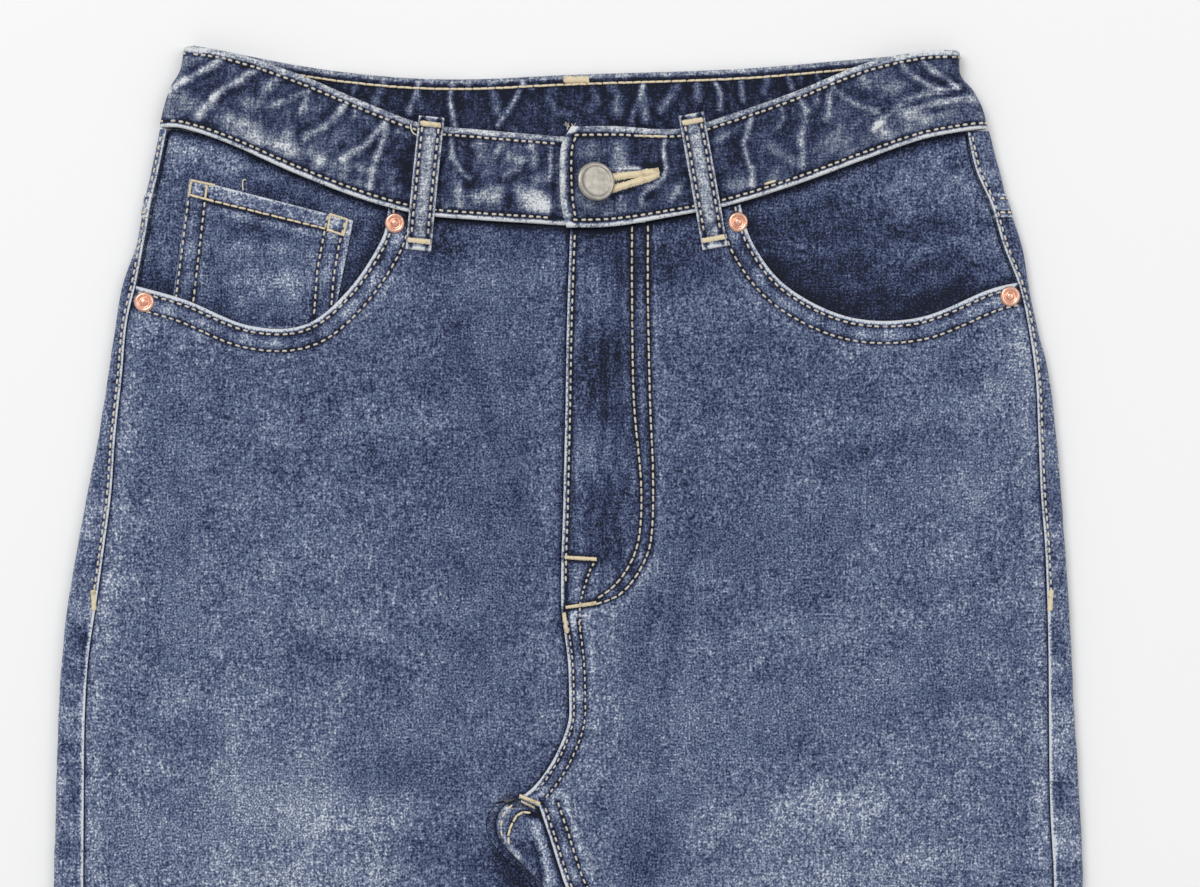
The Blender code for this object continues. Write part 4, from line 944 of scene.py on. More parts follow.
def rowsOnFront(side):
    # every row of stitches on a front panel
    lines = frontLines[side]
    mouth = np.array(smoothLine(pocketMouths[side], 0.002))
    rows = [shiftLine(mouth, signOf[side] * row) for row in frontPanel["mouthRows"]]
    rowDrop = hemDrop - frontPanel["hemRow"]
    hemX = np.linspace(inseam(side, rowDrop) + signOf[side] * 0.002,
                       sideSeam(side, rowDrop) - signOf[side] * 0.002, 60)
    rows.append(stack(hemX, np.full(60, rowDrop)))
    if side == "left":
        rows += [shiftLine(lines["inseam"], -row) for row in frontPanel["inseamRows"]]
        rows += [np.array(flyOuterRow), np.array(flyInnerRow), flyTackTail]
        rows.append(shiftLine(riseLine(0.085, 0.33), -frontPanel["flyRow"]))
        rows.append(shiftLine(riseLine(0.256, 0.33), -frontPanel["riseRows"][1]))
    return rows


frontRows = {side: rowsOnFront(side) for side in signOf}


def frontSurface(side, x, drop):
    # height and wash of the front panel's outer face, with painted shade under the band, beside seams and
    # bar tacks, in stitch grooves and between the legs
    lines = frontLines[side]
    z = frontHeight(x, drop) + lineMarks(fineCreases, x, drop) / 1000
    z += 0.00022 * waviness(x, drop, 0.02, 3) + 0.0001 * waviness(x, drop, 0.008, 5)
    wash = fadeAndShadeAt(x, drop)
    mottle = np.full(x.shape, 0.05)

    away, place = awayFrom(lines["mouth"], x, drop)
    fell = upTo(away, 0.0104, 0.0014)
    z += 0.00035 * fell
    wash += fell * (0.09 + 0.14 * rope(place, 1.0))
    wash += 0.6 * softEdge(away, 0.001, 0.0008)
    wash += 0.06 * bell(away - 0.0125, 0.002)

    away, place = awayFrom(lines["rise"], x, drop)
    below = ease((drop - frontPanel["tackDrop"]) / 0.004)
    if side == "left":
        fell = below * upTo(away, 0.0086, 0.001)
        z += 0.00045 * fell + 0.00055 * bell(away, 0.0016)
        wash += fell * (0.02 + 0.17 * rope(place, 2.0))
        wash += 0.6 * softEdge(away, 0.001, 0.0007)
        wash += 0.07 * below * bell(away - 0.01, 0.0022)
        flyWidth = np.interp(drop, [p[1] for p in flyOuterRow], [p[0] for p in flyOuterRow])
        onFly = upTo(x, flyWidth, 0.003) * upTo(drop, 0.245, 0.006)
        z += 0.00025 * onFly
        mottle += 0.07 * onFly
        wash -= onFly * (0.12 + 0.08 * np.sin(x / 0.0011 + 2 * waviness(x, drop, 0.03, 7)))
        wash += 0.07 * bell(nearest(flyOuterRow, x, drop) - 0.003, 0.0022) * (x > flyWidth)
        wash += 0.1 * window(x, 0.0015, 0.006, 0.0, 0.0015) * window(drop, 0.231, 0.26, 0.0, 0.002)
    else:
        z -= 0.00045 * bell(away, 0.0018)
        # painted shadow along the edge of the overlapping fly, on the panel beneath
        wash = wash - 0.3 * bell(away, 0.0013) - 0.06 * bell(away - 0.002, 0.003)

    away, place = awayFrom(lines["inseam"], x, drop)
    if side == "left":
        fell = upTo(away, 0.009, 0.0012)
        z += fell * 0.0004 + 0.0005 * bell(away, 0.0012)
        wash += fell * 0.17 * rope(place, 3.0)
        wash += 0.66 * softEdge(away, 0.0007, 0.0007)
        wash += 0.18 * bell(away - 0.0118, 0.0018) * window(drop, 0.34, 0.365, 0.0, 0.02)
    else:
        z -= 0.001 * bell(away, 0.004) * window(drop, 0.36, 0.4, 0.0, 0.01)
        # painted shadow where the cloth falls away into the gap between the legs, and a painted pale line on
        # the edge against the shadow the gap casts
        reach = mix(0.001, 0.0062, ease((drop - 0.35) / 0.022))
        gapShade = ease((drop - 0.352) / 0.008) * upTo(drop, 0.39, 0.03)
        wash -= 0.34 * gapShade * softEdge(away, 0.3 * reach, 1.2 * reach)
        wash += 0.16 * bell(away, 0.0008)

    away, place = awayFrom(lines["side"], x, drop)
    z -= 0.00035 * bell(away, 0.0014)
    # painted shadow along the seam, beside the back panel's raised welt
    wash = wash - 0.3 * bell(away, 0.0009) + 0.06 * rope(place, 4.0) * bell(away, 0.006)
    wash += 0.1 * bell(away - 0.005, 0.004)

    for line in frontRows[side]:
        z, wash = stitchGroove(line, x, drop, z, wash)
    if side == "left":
        # painted shadow round the raised bar tacks
        for line in flyBars:
            wash -= 0.5 * bell(nearest(line, x, drop) - 0.0009, 0.0008)

    up = hemDrop - drop
    z += 0.00045 * upTo(up, garment["hemDepth"], 0.002)
    wash += 0.3 * bell(up, 0.0012) + 0.05 * rope(x, 5.0) * bell(up - 0.008, 0.006)

    down = drop - along(bandRows[side], 2, x)
    # painted shadow under the band's lower edge
    return z, wash - 0.55 * bell(down, 0.0024) - 0.1 * bell(down, 0.006), mottle


def frontZ(side):
    return lambda x, drop: frontSurface(side, x, drop)[0]


def buildFront(side):
    def stepAt(drop):
        return frontPanel["closeStep"] if drop < 0.4 else frontPanel["farStep"]

    points, faces, away = cutCloth(frontOutline(side), stepAt, frontRows[side])
    x, drop = points.T
    z, wash, mottle = frontSurface(side, x, drop)
    wall = np.where(drop > hemDrop - garment["hemDepth"], 2, 1) * garment["cloth"]
    base = np.minimum(frontHeight(x, drop), z - 0.0004) - wall
    top = z - roundedRim(away, 0.001, 0.0006)
    piece = solidCloth("frontPanel_" + side, faces, stack(points, top), stack(points, base),
                       wash, mottle, washedDenim)
    standIn(piece, "front_" + side)
    onFront = frontZ(side)
    plainRows = len(frontPanel["mouthRows"]) + 1 + (2 if side == "left" else 0)
    for line in frontRows[side][:plainRows]:
        sewFlat("pale", line, onFront)


def sewFly():
    onFront = frontZ("left")
    rise = shiftLine(riseLine(0.085, 0.33), -frontPanel["flyRow"])
    sewFlat("pale", rise[:78], onFront)
    sewFlat("pale", rise[84:], onFront, pitch=0.0031, length=0.0021, radius=0.00038)
    for line in (flyOuterRow, flyInnerRow):
        sewFlat("pale", line, onFront, length=0.003)
    sewFlat("pale", flyTackTail, onFront, pitch=0.0026, length=0.0016)
    for start, end in flyBars:
        barTack("cream", start, end, onFront, width=0.0017)
    sewFlat("pale", shiftLine(riseLine(0.256, 0.33), -frontPanel["riseRows"][1]), onFront,
            pitch=0.0031, length=0.0021, radius=0.00038)
    barTack("pale", (-0.0206, 0.3348), (-0.0146, 0.3377), onFront, width=0.0011, spacing=0.0007)


for side in signOf:
    buildFront(side)
sewFly()
print("front panels made")


# Back panels and yokes, which wrap round the folded sides to their seams

def sectionPoint(side, drop, station, depth, innerX, inseamX):
    # stations: 0 to 1 on the floor, 1 to 2 round the side, 2 to 3 on top to the side seam,
    # 0 to -1 round the inner fold, -1 to -2 on top to the inseam
    sign = signOf[side]
    outerStart = sideEdge(side, drop) - sign * foldRadius
    radius = foldRadius - depth
    x = mix(innerX, outerStart, np.clip(station, 0, 1))
    z = floorLift(x, drop) + depth
    seam = sideSeam(side, drop) + sign * seamGap / 2
    for beyond, flip, start, end in ((station - 1, sign, outerStart, seam),
                                     (-station, -sign, innerX, inseamX - sign * seamGap / 2)):
        angle = math.pi * (np.clip(beyond, 0, 1) - 0.5)
        x = np.where(beyond > 0, start + flip * radius * np.cos(angle), x)
        z = np.where(beyond > 0, foldRadius + radius * np.sin(angle), z)
        x = np.where(beyond > 1, mix(start, end, beyond - 1), x)
        z = np.where(beyond > 1, garment["height"] - depth, z)
    return x, z


def sectionNormal(side, station):
    nx, nz = np.zeros(station.shape), np.where((station >= 0) & (station <= 1), -1.0, 1.0)
    for beyond, flip in ((station - 1, signOf[side]), (-station, -signOf[side])):
        angle = math.pi * (np.clip(beyond, 0, 1) - 0.5)
        turning = (beyond > 0) & (beyond < 1)
        nx, nz = np.where(turning, flip * np.cos(angle), nx), np.where(turning, np.sin(angle), nz)
    return nx, nz


def yokeLine(side, x):
    share = ease(np.abs(x) / np.abs(sideEdge(side, yoke["sideDrop"])))
    return mix(yoke["centreDrop"], yoke["sideDrop"], share)


def backCentre(side, drop):
    flare = 1.2 * foldRadius * ease((drop - garment["crotchDrop"] + 0.008) / 0.008)
    return along(backRise, 1, drop) + signOf[side] * (seamGap / 2 + flare)


backPanel = {
    "sideRow": 0.0018,  # the row beside the side seam
    "sideRowEnd": 0.246,
    "riseRows": (0.002, 0.0082),
    "yokeRows": (0.0022, 0.0084),
}
curlRows = [smoothLine(placesOf(places), 0.001) for places in (
    (-23.8, 336.2, -27, 338.5, -28.6, 341.2, -29.3, 344.5, -29.5, 348.2, -28.2, 352.2),
    (-16.3, 340.1, -18.8, 339.4, -21.1, 340.1, -23.1, 341.9, -24.7, 345,
     -25.9, 348, -26.3, 351.1, -25.9, 354.2),
)]
# where the seat seam curls round the left leg: lift, change of wash, half width and the places; the dark
# marks are painted shade in the stitch grooves, the hollow and the gap between the legs
curlMarks = (
    (0.4, 0.5, 1.5, placesOf([-21.2, 335.6, -25.6, 337, -28.2, 339.6, -29.6, 343.2, -29.7, 347.6,
                              -28.8, 350.6, -26.7, 353.2, -23.6, 357.4, -21.6, 359.4])),
    (0.3, 0.06, 1.2, placesOf([-26.2, 338, -27.2, 344, -27.5, 350])),
    (0.3, 0.14, 1.4, placesOf([-26.2, 336.8, -22, 337.2, -19, 338])), (-0.3, -0.34, 0.6, curlRows[0]),
    (-0.3, -0.4, 0.8, curlRows[1]), (-0.8, -0.7, 1.6, placesOf([-16.5, 340.5, -12.8, 342])),
    (0.2, 0.08, 2, placesOf([-21.5, 344, -19, 348, -22.5, 350])),
    (-0.3, -0.16, 3, placesOf([-21, 353, -18, 358, -16.5, 362])),
    (-0.6, -0.46, 1.5, placesOf([-15.2, 353, -13.2, 358, -12.2, 364, -11.6, 372])),
    (0.4, 0.34, 2.2, placesOf([-13.8, 344, -13.4, 351, -11.4, 357, -9.6, 365, -8.6, 373])),
    (0.3, 0.2, 1.2, placesOf([-21.5, 360, -16, 365.5, -10.6, 373])),
)


def backLook(side, x, drop, station, fromSeam, nearInner):
    # relief and wash of the back panel's outer face, by its stations, with painted shade in the side row's
    # groove and round the crotch
    wash = fadeAndShadeAt(x, drop)
    seat = bell(np.abs(x) - 0.095, 0.055) * bell(drop - 0.24, 0.09)
    wash = np.where((station >= 0) & (station < 1), wash * 0.5 + 0.26 + 0.08 * seat, wash)
    relief = 0.00012 * waviness(x, drop, 0.018, 21)
    # the two legs' inner folds press together at the crotch
    relief += 0.0006 * bell(station + 0.62, 0.3) * ease((0.39 - drop) / 0.02)
    onTop = ease((station - 1.7) / 0.3)
    ropes = rope(drop, 6.0 if side == "left" else 8.0)
    wash += onTop * (0.11 * ropes - 0.03) + 0.1 * bell(station - 1.5, 0.3)
    wash += 0.62 * onTop * softEdge(fromSeam, 0.0004, 0.0009)
    wash += 0.06 * onTop * bell(drop - 0.33, 0.1) * (side == "left")
    relief += onTop * 0.00075 * bell(fromSeam, 0.0011)
    sewn = upTo(drop, backPanel["sideRowEnd"], 0.004)
    groove = onTop * sewn * bell(np.abs(fromSeam - backPanel["sideRow"]), 0.0007)
    relief -= 0.00028 * groove
    # the row's groove is painted dark as shade
    wash -= 0.4 * groove
    dark = onTop * (1 - sewn) * np.maximum(0, np.sin(drop / 0.0105 + 1.5)) ** 4
    wash -= 0.26 * dark * bell(fromSeam - 0.004, 0.004)
    onInner = ease((-station - 0.5) / 0.4)
    if side == "left":
        for lift, pale, width, line in curlMarks:
            mark = onInner * bell(nearest(line, x, drop), width / 1000)
            relief += lift / 1000 * mark
            wash += pale * mark
        # painted shade along the inseam's edge, deeper lower down toward the gap between the legs
        wash -= 0.62 * onInner * bell(fromSeam - 0.0004, 0.0012)
        wash -= 0.08 * onInner * ease((drop - 0.35) / 0.01)
    else:
        # painted shade on the right leg's inner wrap, deeper toward the gap between the legs
        shadow = bell(nearInner, 0.0024) * ease((drop - 0.337) / 0.008)
        wash -= (0.2 * shadow + 0.24 * ease((drop - 0.352) / 0.012)) * onInner
    return relief, wash + 0.3 * bell(hemDrop - drop, 0.0012)


topSteps = [2.14, 2.28, 2.42, 2.54, 2.64, 2.73, 2.8, 2.86, 2.91, 2.95, 2.98, 3.0]
outerStations = np.concatenate([np.linspace(0, 1, 41), np.linspace(1, 2, 13)[1:], topSteps])


def wrapFaces(side, station, drop, surface, relief, edge, wall, innerX, seamX):
    # outer and inner points of wrapped cloth, raised by its relief off the floor
    (x, z), (nx, nz) = surface, sectionNormal(side, station)
    free = np.abs(station - 0.5) > 0.5
    push = np.where(free, relief - roundedRim(edge, 0.001, 0.0006), 0)
    z = np.maximum(z + nz * push + np.where(free, 0, restLift), 0.0002)
    ix, iz = sectionPoint(side, drop, station, wall, innerX, seamX)
    return stack(x + nx * push, drop, z), stack(ix, drop, iz)


def buildBack(side):
    sign = signOf[side]
    innerStations = np.concatenate([[-2, -1.98, -1.95, -1.91, -1.87], np.linspace(-1.82, -1, 17)[:-1],
                                    np.linspace(-1, 0, 12)[:-1]])
    stations = np.concatenate([innerStations, outerStations])
    shares = np.linspace(0, 1, 104)
    guess = mix(0, sideEdge(side, yoke["sideDrop"]), np.clip(outerStations, 0, 1))
    trunk = mix(yokeLine(side, guess) + seamGap / 2, trunkEnd, shares[:, None])
    crotch = garment["crotchDrop"] + tongue[side] * np.clip(-stations, 0, 1)
    legDrops = np.concatenate([np.arange(0.3392, 0.376, 0.0009), np.arange(0.376, 0.402, 0.0022),
                               np.arange(0.402, 1.08, 0.008),
                               [1.0815, 1.0835, 1.088, 1.0925, hemDrop]])
    legs = np.vstack([crotch, np.tile(legDrops[:, None], (1, len(stations)))])
    outer, inner, washes, grids, base = [], [], [], [], 0
    for columns, drop in ((outerStations, trunk), (stations, legs)):
        grids.append(base + np.arange(drop.size).reshape(drop.shape))
        base += drop.size
        station, drop = np.tile(columns, len(drop)), drop.ravel()
        centre = backCentre(side, drop) if columns is outerStations else (
            innerFold(side, drop) + sign * foldRadius)
        seamX = inseam(side, drop)
        x, z = sectionPoint(side, drop, station, 0.0, centre, seamX)
        fromSeam = np.where(station > 1.5, np.abs(x - sideSeam(side, drop)), np.abs(x - seamX))
        nearInner = np.abs(x - innerFold(side, drop))
        relief, wash = backLook(side, x, drop, station, fromSeam, nearInner)
        edge = np.where(np.abs(station - 0.5) > 1.5, fromSeam, 1.0)
        wall = np.where(drop > hemDrop - garment["hemDepth"], 2, 1) * garment["cloth"]
        faces = wrapFaces(side, station, drop, (x, z), relief, edge, wall, centre, seamX)
        outer.append(faces[0])
        inner.append(faces[1])
        washes.append(wash)
    grids.append(np.vstack([grids[0][-1], grids[1][0, len(innerStations):]]))
    quads = [quad for grid in grids for quad in gridFaces(grid)]
    piece = solidCloth("backPanel_" + side, quads, np.vstack(outer), np.vstack(inner),
                       np.concatenate(washes), 0.08, washedDenim)
    standIn(piece, "back_" + side)


def yokeTop(side, station):
    drop = np.full(np.shape(station), 0.038)
    for _ in range(4):
        outerStart = sideEdge(side, drop) - signOf[side] * foldRadius
        drop = along(bandRows["back"], 2, np.clip(station, 0, 1) * outerStart)
    front = along(bandRows[side], 2, sideSeam(side, drop))
    return mix(drop, front, np.clip(station - 1, 0, 2) / 2) + 2 * seamGap


def buildYoke(side):
    sign = signOf[side]
    guess = mix(0, sideEdge(side, yoke["sideDrop"]), np.clip(outerStations, 0, 1))
    bottom = yokeLine(side, guess) - seamGap / 2
    shares = np.concatenate([np.linspace(0, 0.62, 14)[:-1], np.linspace(0.62, 1, 26)])
    top = yokeTop(side, outerStations)
    drop = mix(top, bottom, shares[:, None])
    shape = drop.shape
    toSeam = ((1 - shares)[:, None] * (bottom - top)).ravel()
    station, drop = np.tile(outerStations, shape[0]), drop.ravel()
    centre = np.full(drop.shape, sign * seamGap / 2)
    x, z = sectionPoint(side, drop, station, 0.0, centre, centre)
    fromSeam = np.where(station > 1.5, np.abs(x - sideSeam(side, drop)), 1.0)
    relief, wash = backLook(side, x, drop, station, fromSeam, 1.0 + 0 * x)
    fell = upTo(toSeam, 0.0095, 0.0012)
    wash += fell * 0.2 + 0.35 * bell(toSeam, 0.001) + 0.25 * bell(toSeam - 0.0095, 0.001)
    # the rows' grooves are painted dark as shade
    for row in backPanel["yokeRows"]:
        wash -= 0.4 * bell(toSeam - row, 0.0008)
    relief += 0.0005 * fell
    outer, inner = wrapFaces(side, station, drop, (x, z), relief, fromSeam, garment["cloth"], centre, centre)
    piece = gridCloth("yokePanel_" + side, shape, outer, inner, wash, 0.12, washedDenim)
    standIn(piece, "yoke_" + side)
    for row in backPanel["yokeRows"]:
        stations = np.linspace(0.004, 2.9, 400)
        x0 = mix(0, sideEdge(side, yoke["sideDrop"]), np.clip(stations, 0, 1))
        rowDrop = yokeLine(side, x0) - row
        px, pz = sectionPoint(side, rowDrop, stations, 0.0, np.full(400, sign * 0.0001), 0)
        nx, nz = sectionNormal(side, stations)
        out = mix(-0.00075, 0.0004, ease((nz + 1) / 1.2))
        path = stack(px + nx * out, rowDrop, pz + nz * out)
        sewPath("cream", path, stack(nx, np.zeros(400), nz))


def foldTop(over):
    # height on a round fold, at a distance past the start of its curve
    return foldRadius + np.sqrt(np.maximum(foldRadius**2 - np.maximum(over, 0)**2, 1e-8))


def sideTop(side, drop, x):
    # height of the back panel's wrap on top, at any x near the folded side
    return foldTop(signOf[side] * (x - sideEdge(side, drop)) + foldRadius)


def sewBack(side):
    sign = signOf[side]
    drops = np.linspace(0.042, backPanel["sideRowEnd"], 180)
    x = sideSeam(side, drops) + sign * backPanel["sideRow"]
    z = sideTop(side, drops, x) + 0.0001
    over = np.maximum(sign * (x - sideEdge(side, drops)) + foldRadius, 0)
    tilt = sign * over / foldRadius
    normals = stack(tilt, np.zeros(len(x)), np.sqrt(1 - tilt**2))
    sewPath("pale", stack(x, drops, z), normals)
    tackDrop = backPanel["sideRowEnd"]
    tackX = sideSeam(side, tackDrop) + sign * 0.0018
    barTack("cream", (tackX, tackDrop - 0.004), (tackX - sign * 0.0006, tackDrop + 0.005),
            lambda px, pd: sideTop(side, pd, px) + 0.0003, width=0.0022)
    # the seat seam's two rows under the garment
    seat = np.linspace(0.125, 0.325, 160)
    for row in backPanel["riseRows"] if side == "left" else ():
        px = along(backRise, 1, seat) + row
        sewPath("cream", stack(px, seat, floorLift(px, seat) + 0.0008), (0, 0, -1.0))


for build in (buildBack, buildYoke, sewBack):
    for side in signOf:
        build(side)


def sewCurl():
    # the seat seam comes round from behind at the crotch, felled and sewn twice
    def onTop(x, drop):
        return foldTop(innerFold("left", drop) + foldRadius - x) + 0.0002

    sewFlat("cream", curlRows[0], onTop, pitch=0.0042, length=0.0032, radius=0.00044)
    sewFlat("cream", curlRows[1], onTop, pitch=0.0034, length=0.0033, radius=0.00052)


sewCurl()
print("back panels and yokes made")


# Waistband

jeansButton = {
    "place": (0.0098, 0.0637),
    "radius": 0.0088,
    "shank": 0.0024,
    "lift": 0.0036,  # of the cap's underside over the band
    "tilt": math.radians(24),
}


def gatherField(place, x, drop):
    # height of the band's ridges and how pale they are, from bandCreases; beside each ridge the cloth is
    # painted darker as shade
    height, pale = np.zeros(x.shape), np.zeros(x.shape)
    for halfWidth, percent, *line in bandCreases[place]:
        away = nearest(placesOf(line), x, drop)
        amount, wide = percent / 100, halfWidth / 1000
        # pale worn crest, with a painted shadow flank on either side
        pale += amount * (bell(away, 1.25 * wide) - 0.28 * bell(away - 2.7 * wide, wide))
        ridge = amount * bell(away, max(1.5 * halfWidth, 1.5) / 1000)
        height = np.maximum(height, ridge) if amount > 0 else height + ridge
    return height * band["ridge"], np.minimum(pale, 1.0)


def bandFrontZ(side, x):
    if side == "right":
        return mix(band["height"], band["underlapHeight"], ease((x + 0.034) / 0.026))
    return mix(band["overlapHeight"], band["height"], ease((x - band["underlapEnd"]) / 0.025))


def bandRelief(side, x, drop, share):
    # ridges, stitch grooves and edges of the band's front
    rise, pale = gatherField("front", x, drop)
    inside = ease(share / 0.1) * ease((1 - share) / 0.09)
    swell = 0.00025 * waviness(x, drop, 0.009, 31) + 0.00012 * waviness(x, drop, 0.004, 33)
    relief = (rise + swell) * inside
    for row in band["rows"]:
        relief -= 0.00035 * bell((share - row) * band["width"], 0.0008)
    relief += 0.0005 * bell((1 - share) * band["width"] - 0.0007, 0.0009)
    if side == "left":
        fromEnd = x - along(overlapEdge, 1, share)
        relief = (relief * ease(fromEnd / 0.004) + 0.0006 * bell(fromEnd - 0.0016, 0.0022)
                  - 0.0004 * bell(fromEnd - band["endRow"], 0.0008))
    else:
        shown = ease((-0.004 - x) / 0.0035)
        relief, pale = relief * shown, pale * shown
    return relief, pale * inside


def bandPlace(place, t, share, depth):
    # a point of the band: x, drop, z, how pale it is and its outward normal
    radius = band["radius"]
    leftStart = along(bandFolds, 2, share) - radius
    rightStart = along(bandFolds, 1, share) + radius

    def dropAt(rows, x):
        return mix(along(rows, 1, x), along(rows, 2, x), share)

    if place in signOf:
        x = (mix(along(overlapEdge, 1, share), leftStart, t) if place == "left"
             else mix(rightStart, band["underlapEnd"], t))
        inwards = leftStart - x if place == "left" else x - rightStart
        drape = ease(inwards / 0.012)
        drop = dropAt(bandRows[place], x)
        relief, pale = bandRelief(place, x, drop, share)
        z = mix(band["height"], bandFrontZ(place, x), drape) - depth
        z += np.where(depth < 0.001, relief * drape, 0.0)
        return x, drop, z, pale, np.zeros(x.shape), np.ones(x.shape)
    if place == "back":
        x = mix(leftStart, rightStart, t)
        inwards = np.minimum(leftStart - x, x - rightStart)
        drop = dropAt(bandRows["back"], x)
        rise, pale = gatherField("back", x, drop)
        rise = rise * ease(inwards / 0.012) * ease(share / 0.15)
        z = floorLift(x, drop) + depth + np.where(depth > 0.001, rise, restLift)
        return x, drop, z, pale, np.zeros(x.shape), -np.ones(x.shape)
    side, turn, start = (("left", t, leftStart) if place == "leftFold"
                         else ("right", 1 - t, rightStart))
    angle = math.pi * (0.5 - turn)
    x = start + signOf[side] * (radius - depth) * np.cos(angle)
    drop = mix(dropAt(bandRows[side], start), dropAt(bandRows["back"], start), turn)
    z = radius + (radius - depth) * np.sin(angle)
    _, pale = gatherField("front", x, drop)
    return x, drop, z, pale * (turn < 0.5), signOf[side] * np.cos(angle), np.sin(angle)


holeMarks = (
    # painted shadow lines and a painted highlight round the buttonhole's lips, and rubbed spots
    (0.8, -0.5, 28.5, 58.8, 40.2, 56.2), (0.7, -0.5, 40.8, 56.3, 40.8, 60),
    (0.8, -0.5, 19.6, 67.8, 40.2, 61.3), (1, 0.5, 22.2, 57.6, 31.5, 57.2), (3, 0.16, 24, 50.5, 25.5, 57),
    (1.2, 0.3, 35, 65, 32, 71), (0.9, 0.3, 42, 50, 43.2, 59, 40, 64, 34.5, 66.5),
    (1.2, 0.3, 26.2, 69, 24, 74),
)
# rubbed patches of the band, its almost white corners and a painted shadow beside the overlap's end: x, down
# from its top edge,
# half width, half height, change in hundredths
bandPatches = np.array([
    (-166, 1, 20, 5, 30), (160, 1, 22, 4, 26), (-150, 28, 18, 7, 12), (-120, 26, 16, 7, 14),
    (-171, 14, 6, 12, 15), (-98, 28, 10, 6, 10), (-30, 10, 10, 6, 12), (-14, 16, 9, 10, 12),
    (-20, 30, 18, 7, 12), (-45, 19, 5, 12, -10), (12, 10, 14, 6, 6), (40, 18, 9, 12, -6),
    (155, 26, 18, 7, 16), (140, 18, 12, 8, 3), (118, 24, 10, 9, 8), (92, 20, 14, 12, -8),
    (178, 22, 6, 10, 12), (-74, 22, 8, 14, -10), (72, 18, 7, 14, -8), (-6.2, 18, 1.1, 18, -34),
    (32, 20, 14, 13, -12), (-130, 30, 12, 6, 8), (142, 32, 12, 6, 10), (120, 34, 8, 5, -8),
    (58, 4, 8, 6, -6),
]) / (1000, 1000, 1000, 1000, 100)


def bandLook(x, share, pale, fromEnd):
    # the band's outer face: pale worn ridges and edges, dark between them, and painted shade under the
    # stitches, in the end row's groove and round the buttonhole
    down = share * band["width"]
    up = band["width"] - down
    wash = band["valley"] + band["crest"] * pale + 0.06 * ease((share - 0.45) / 0.4)
    wash += 0.09 * waviness(x, down, 0.012, 41) + 0.08 * waviness(x, down, 0.005, 43)
    wash += 0.07 * waviness(x, down * 0.35, 0.0024, 47)
    wash += band["topWear"] * softEdge(down, 0.002, 0.0008)
    wash += (band["weltWear"] + 0.12 * rope(x, 8.5)) * softEdge(up, 0.0011, 0.0007)
    # painted shade in the stitch rows' grooves
    for row in band["rows"]:
        wash -= 0.58 * bell((share - row) * band["width"], 0.0011)
    wash += 0.07 * rope(x, 2.5) * (bell(up - 0.004, 0.003) + bell(down - 0.001, 0.002))
    wash += 0.56 * softEdge(fromEnd, 0.0018, 0.001)
    # painted shade in the end row's groove
    wash -= 0.52 * bell(fromEnd - band["endRow"], 0.0011)
    wash += lineMarks(holeMarks, x, along(bandRows["left"], 1, x) + share * 0.0425)
    for patchX, patchDown, wide, tall, pale in bandPatches:
        wash += pale * bell(x - patchX, wide) * bell(down - patchDown, tall)
    return wash


def buttonholeCutter():
    eye = np.array(jeansButton["place"])
    end = np.array([0.033, 0.0598])
    lean = math.atan2(end[1] - eye[1], end[0] - eye[0])
    way = np.array([math.cos(lean), math.sin(lean)])
    across = np.array([-way[1], way[0]])
    angles = lean + 0.75 + np.linspace(0, 2 * math.pi - 1.5, 24)
    outline = [eye + 0.0031 * np.array([math.cos(a), math.sin(a)]) for a in angles]
    outline += [end - across * 0.0003, end + across * 0.0003]
    count = len(outline)
    points = [(p[0], waistY - p[1], z) for z in (0.0071, 0.016) for p in outline]
    ring = list(range(count))
    faces = [tuple(ring), tuple(count + i for i in reversed(ring))]
    faces += [(i, (i + 1) % count, count + (i + 1) % count, count + i) for i in ring]
    return addPiece("buttonholeCutter", points, faces)


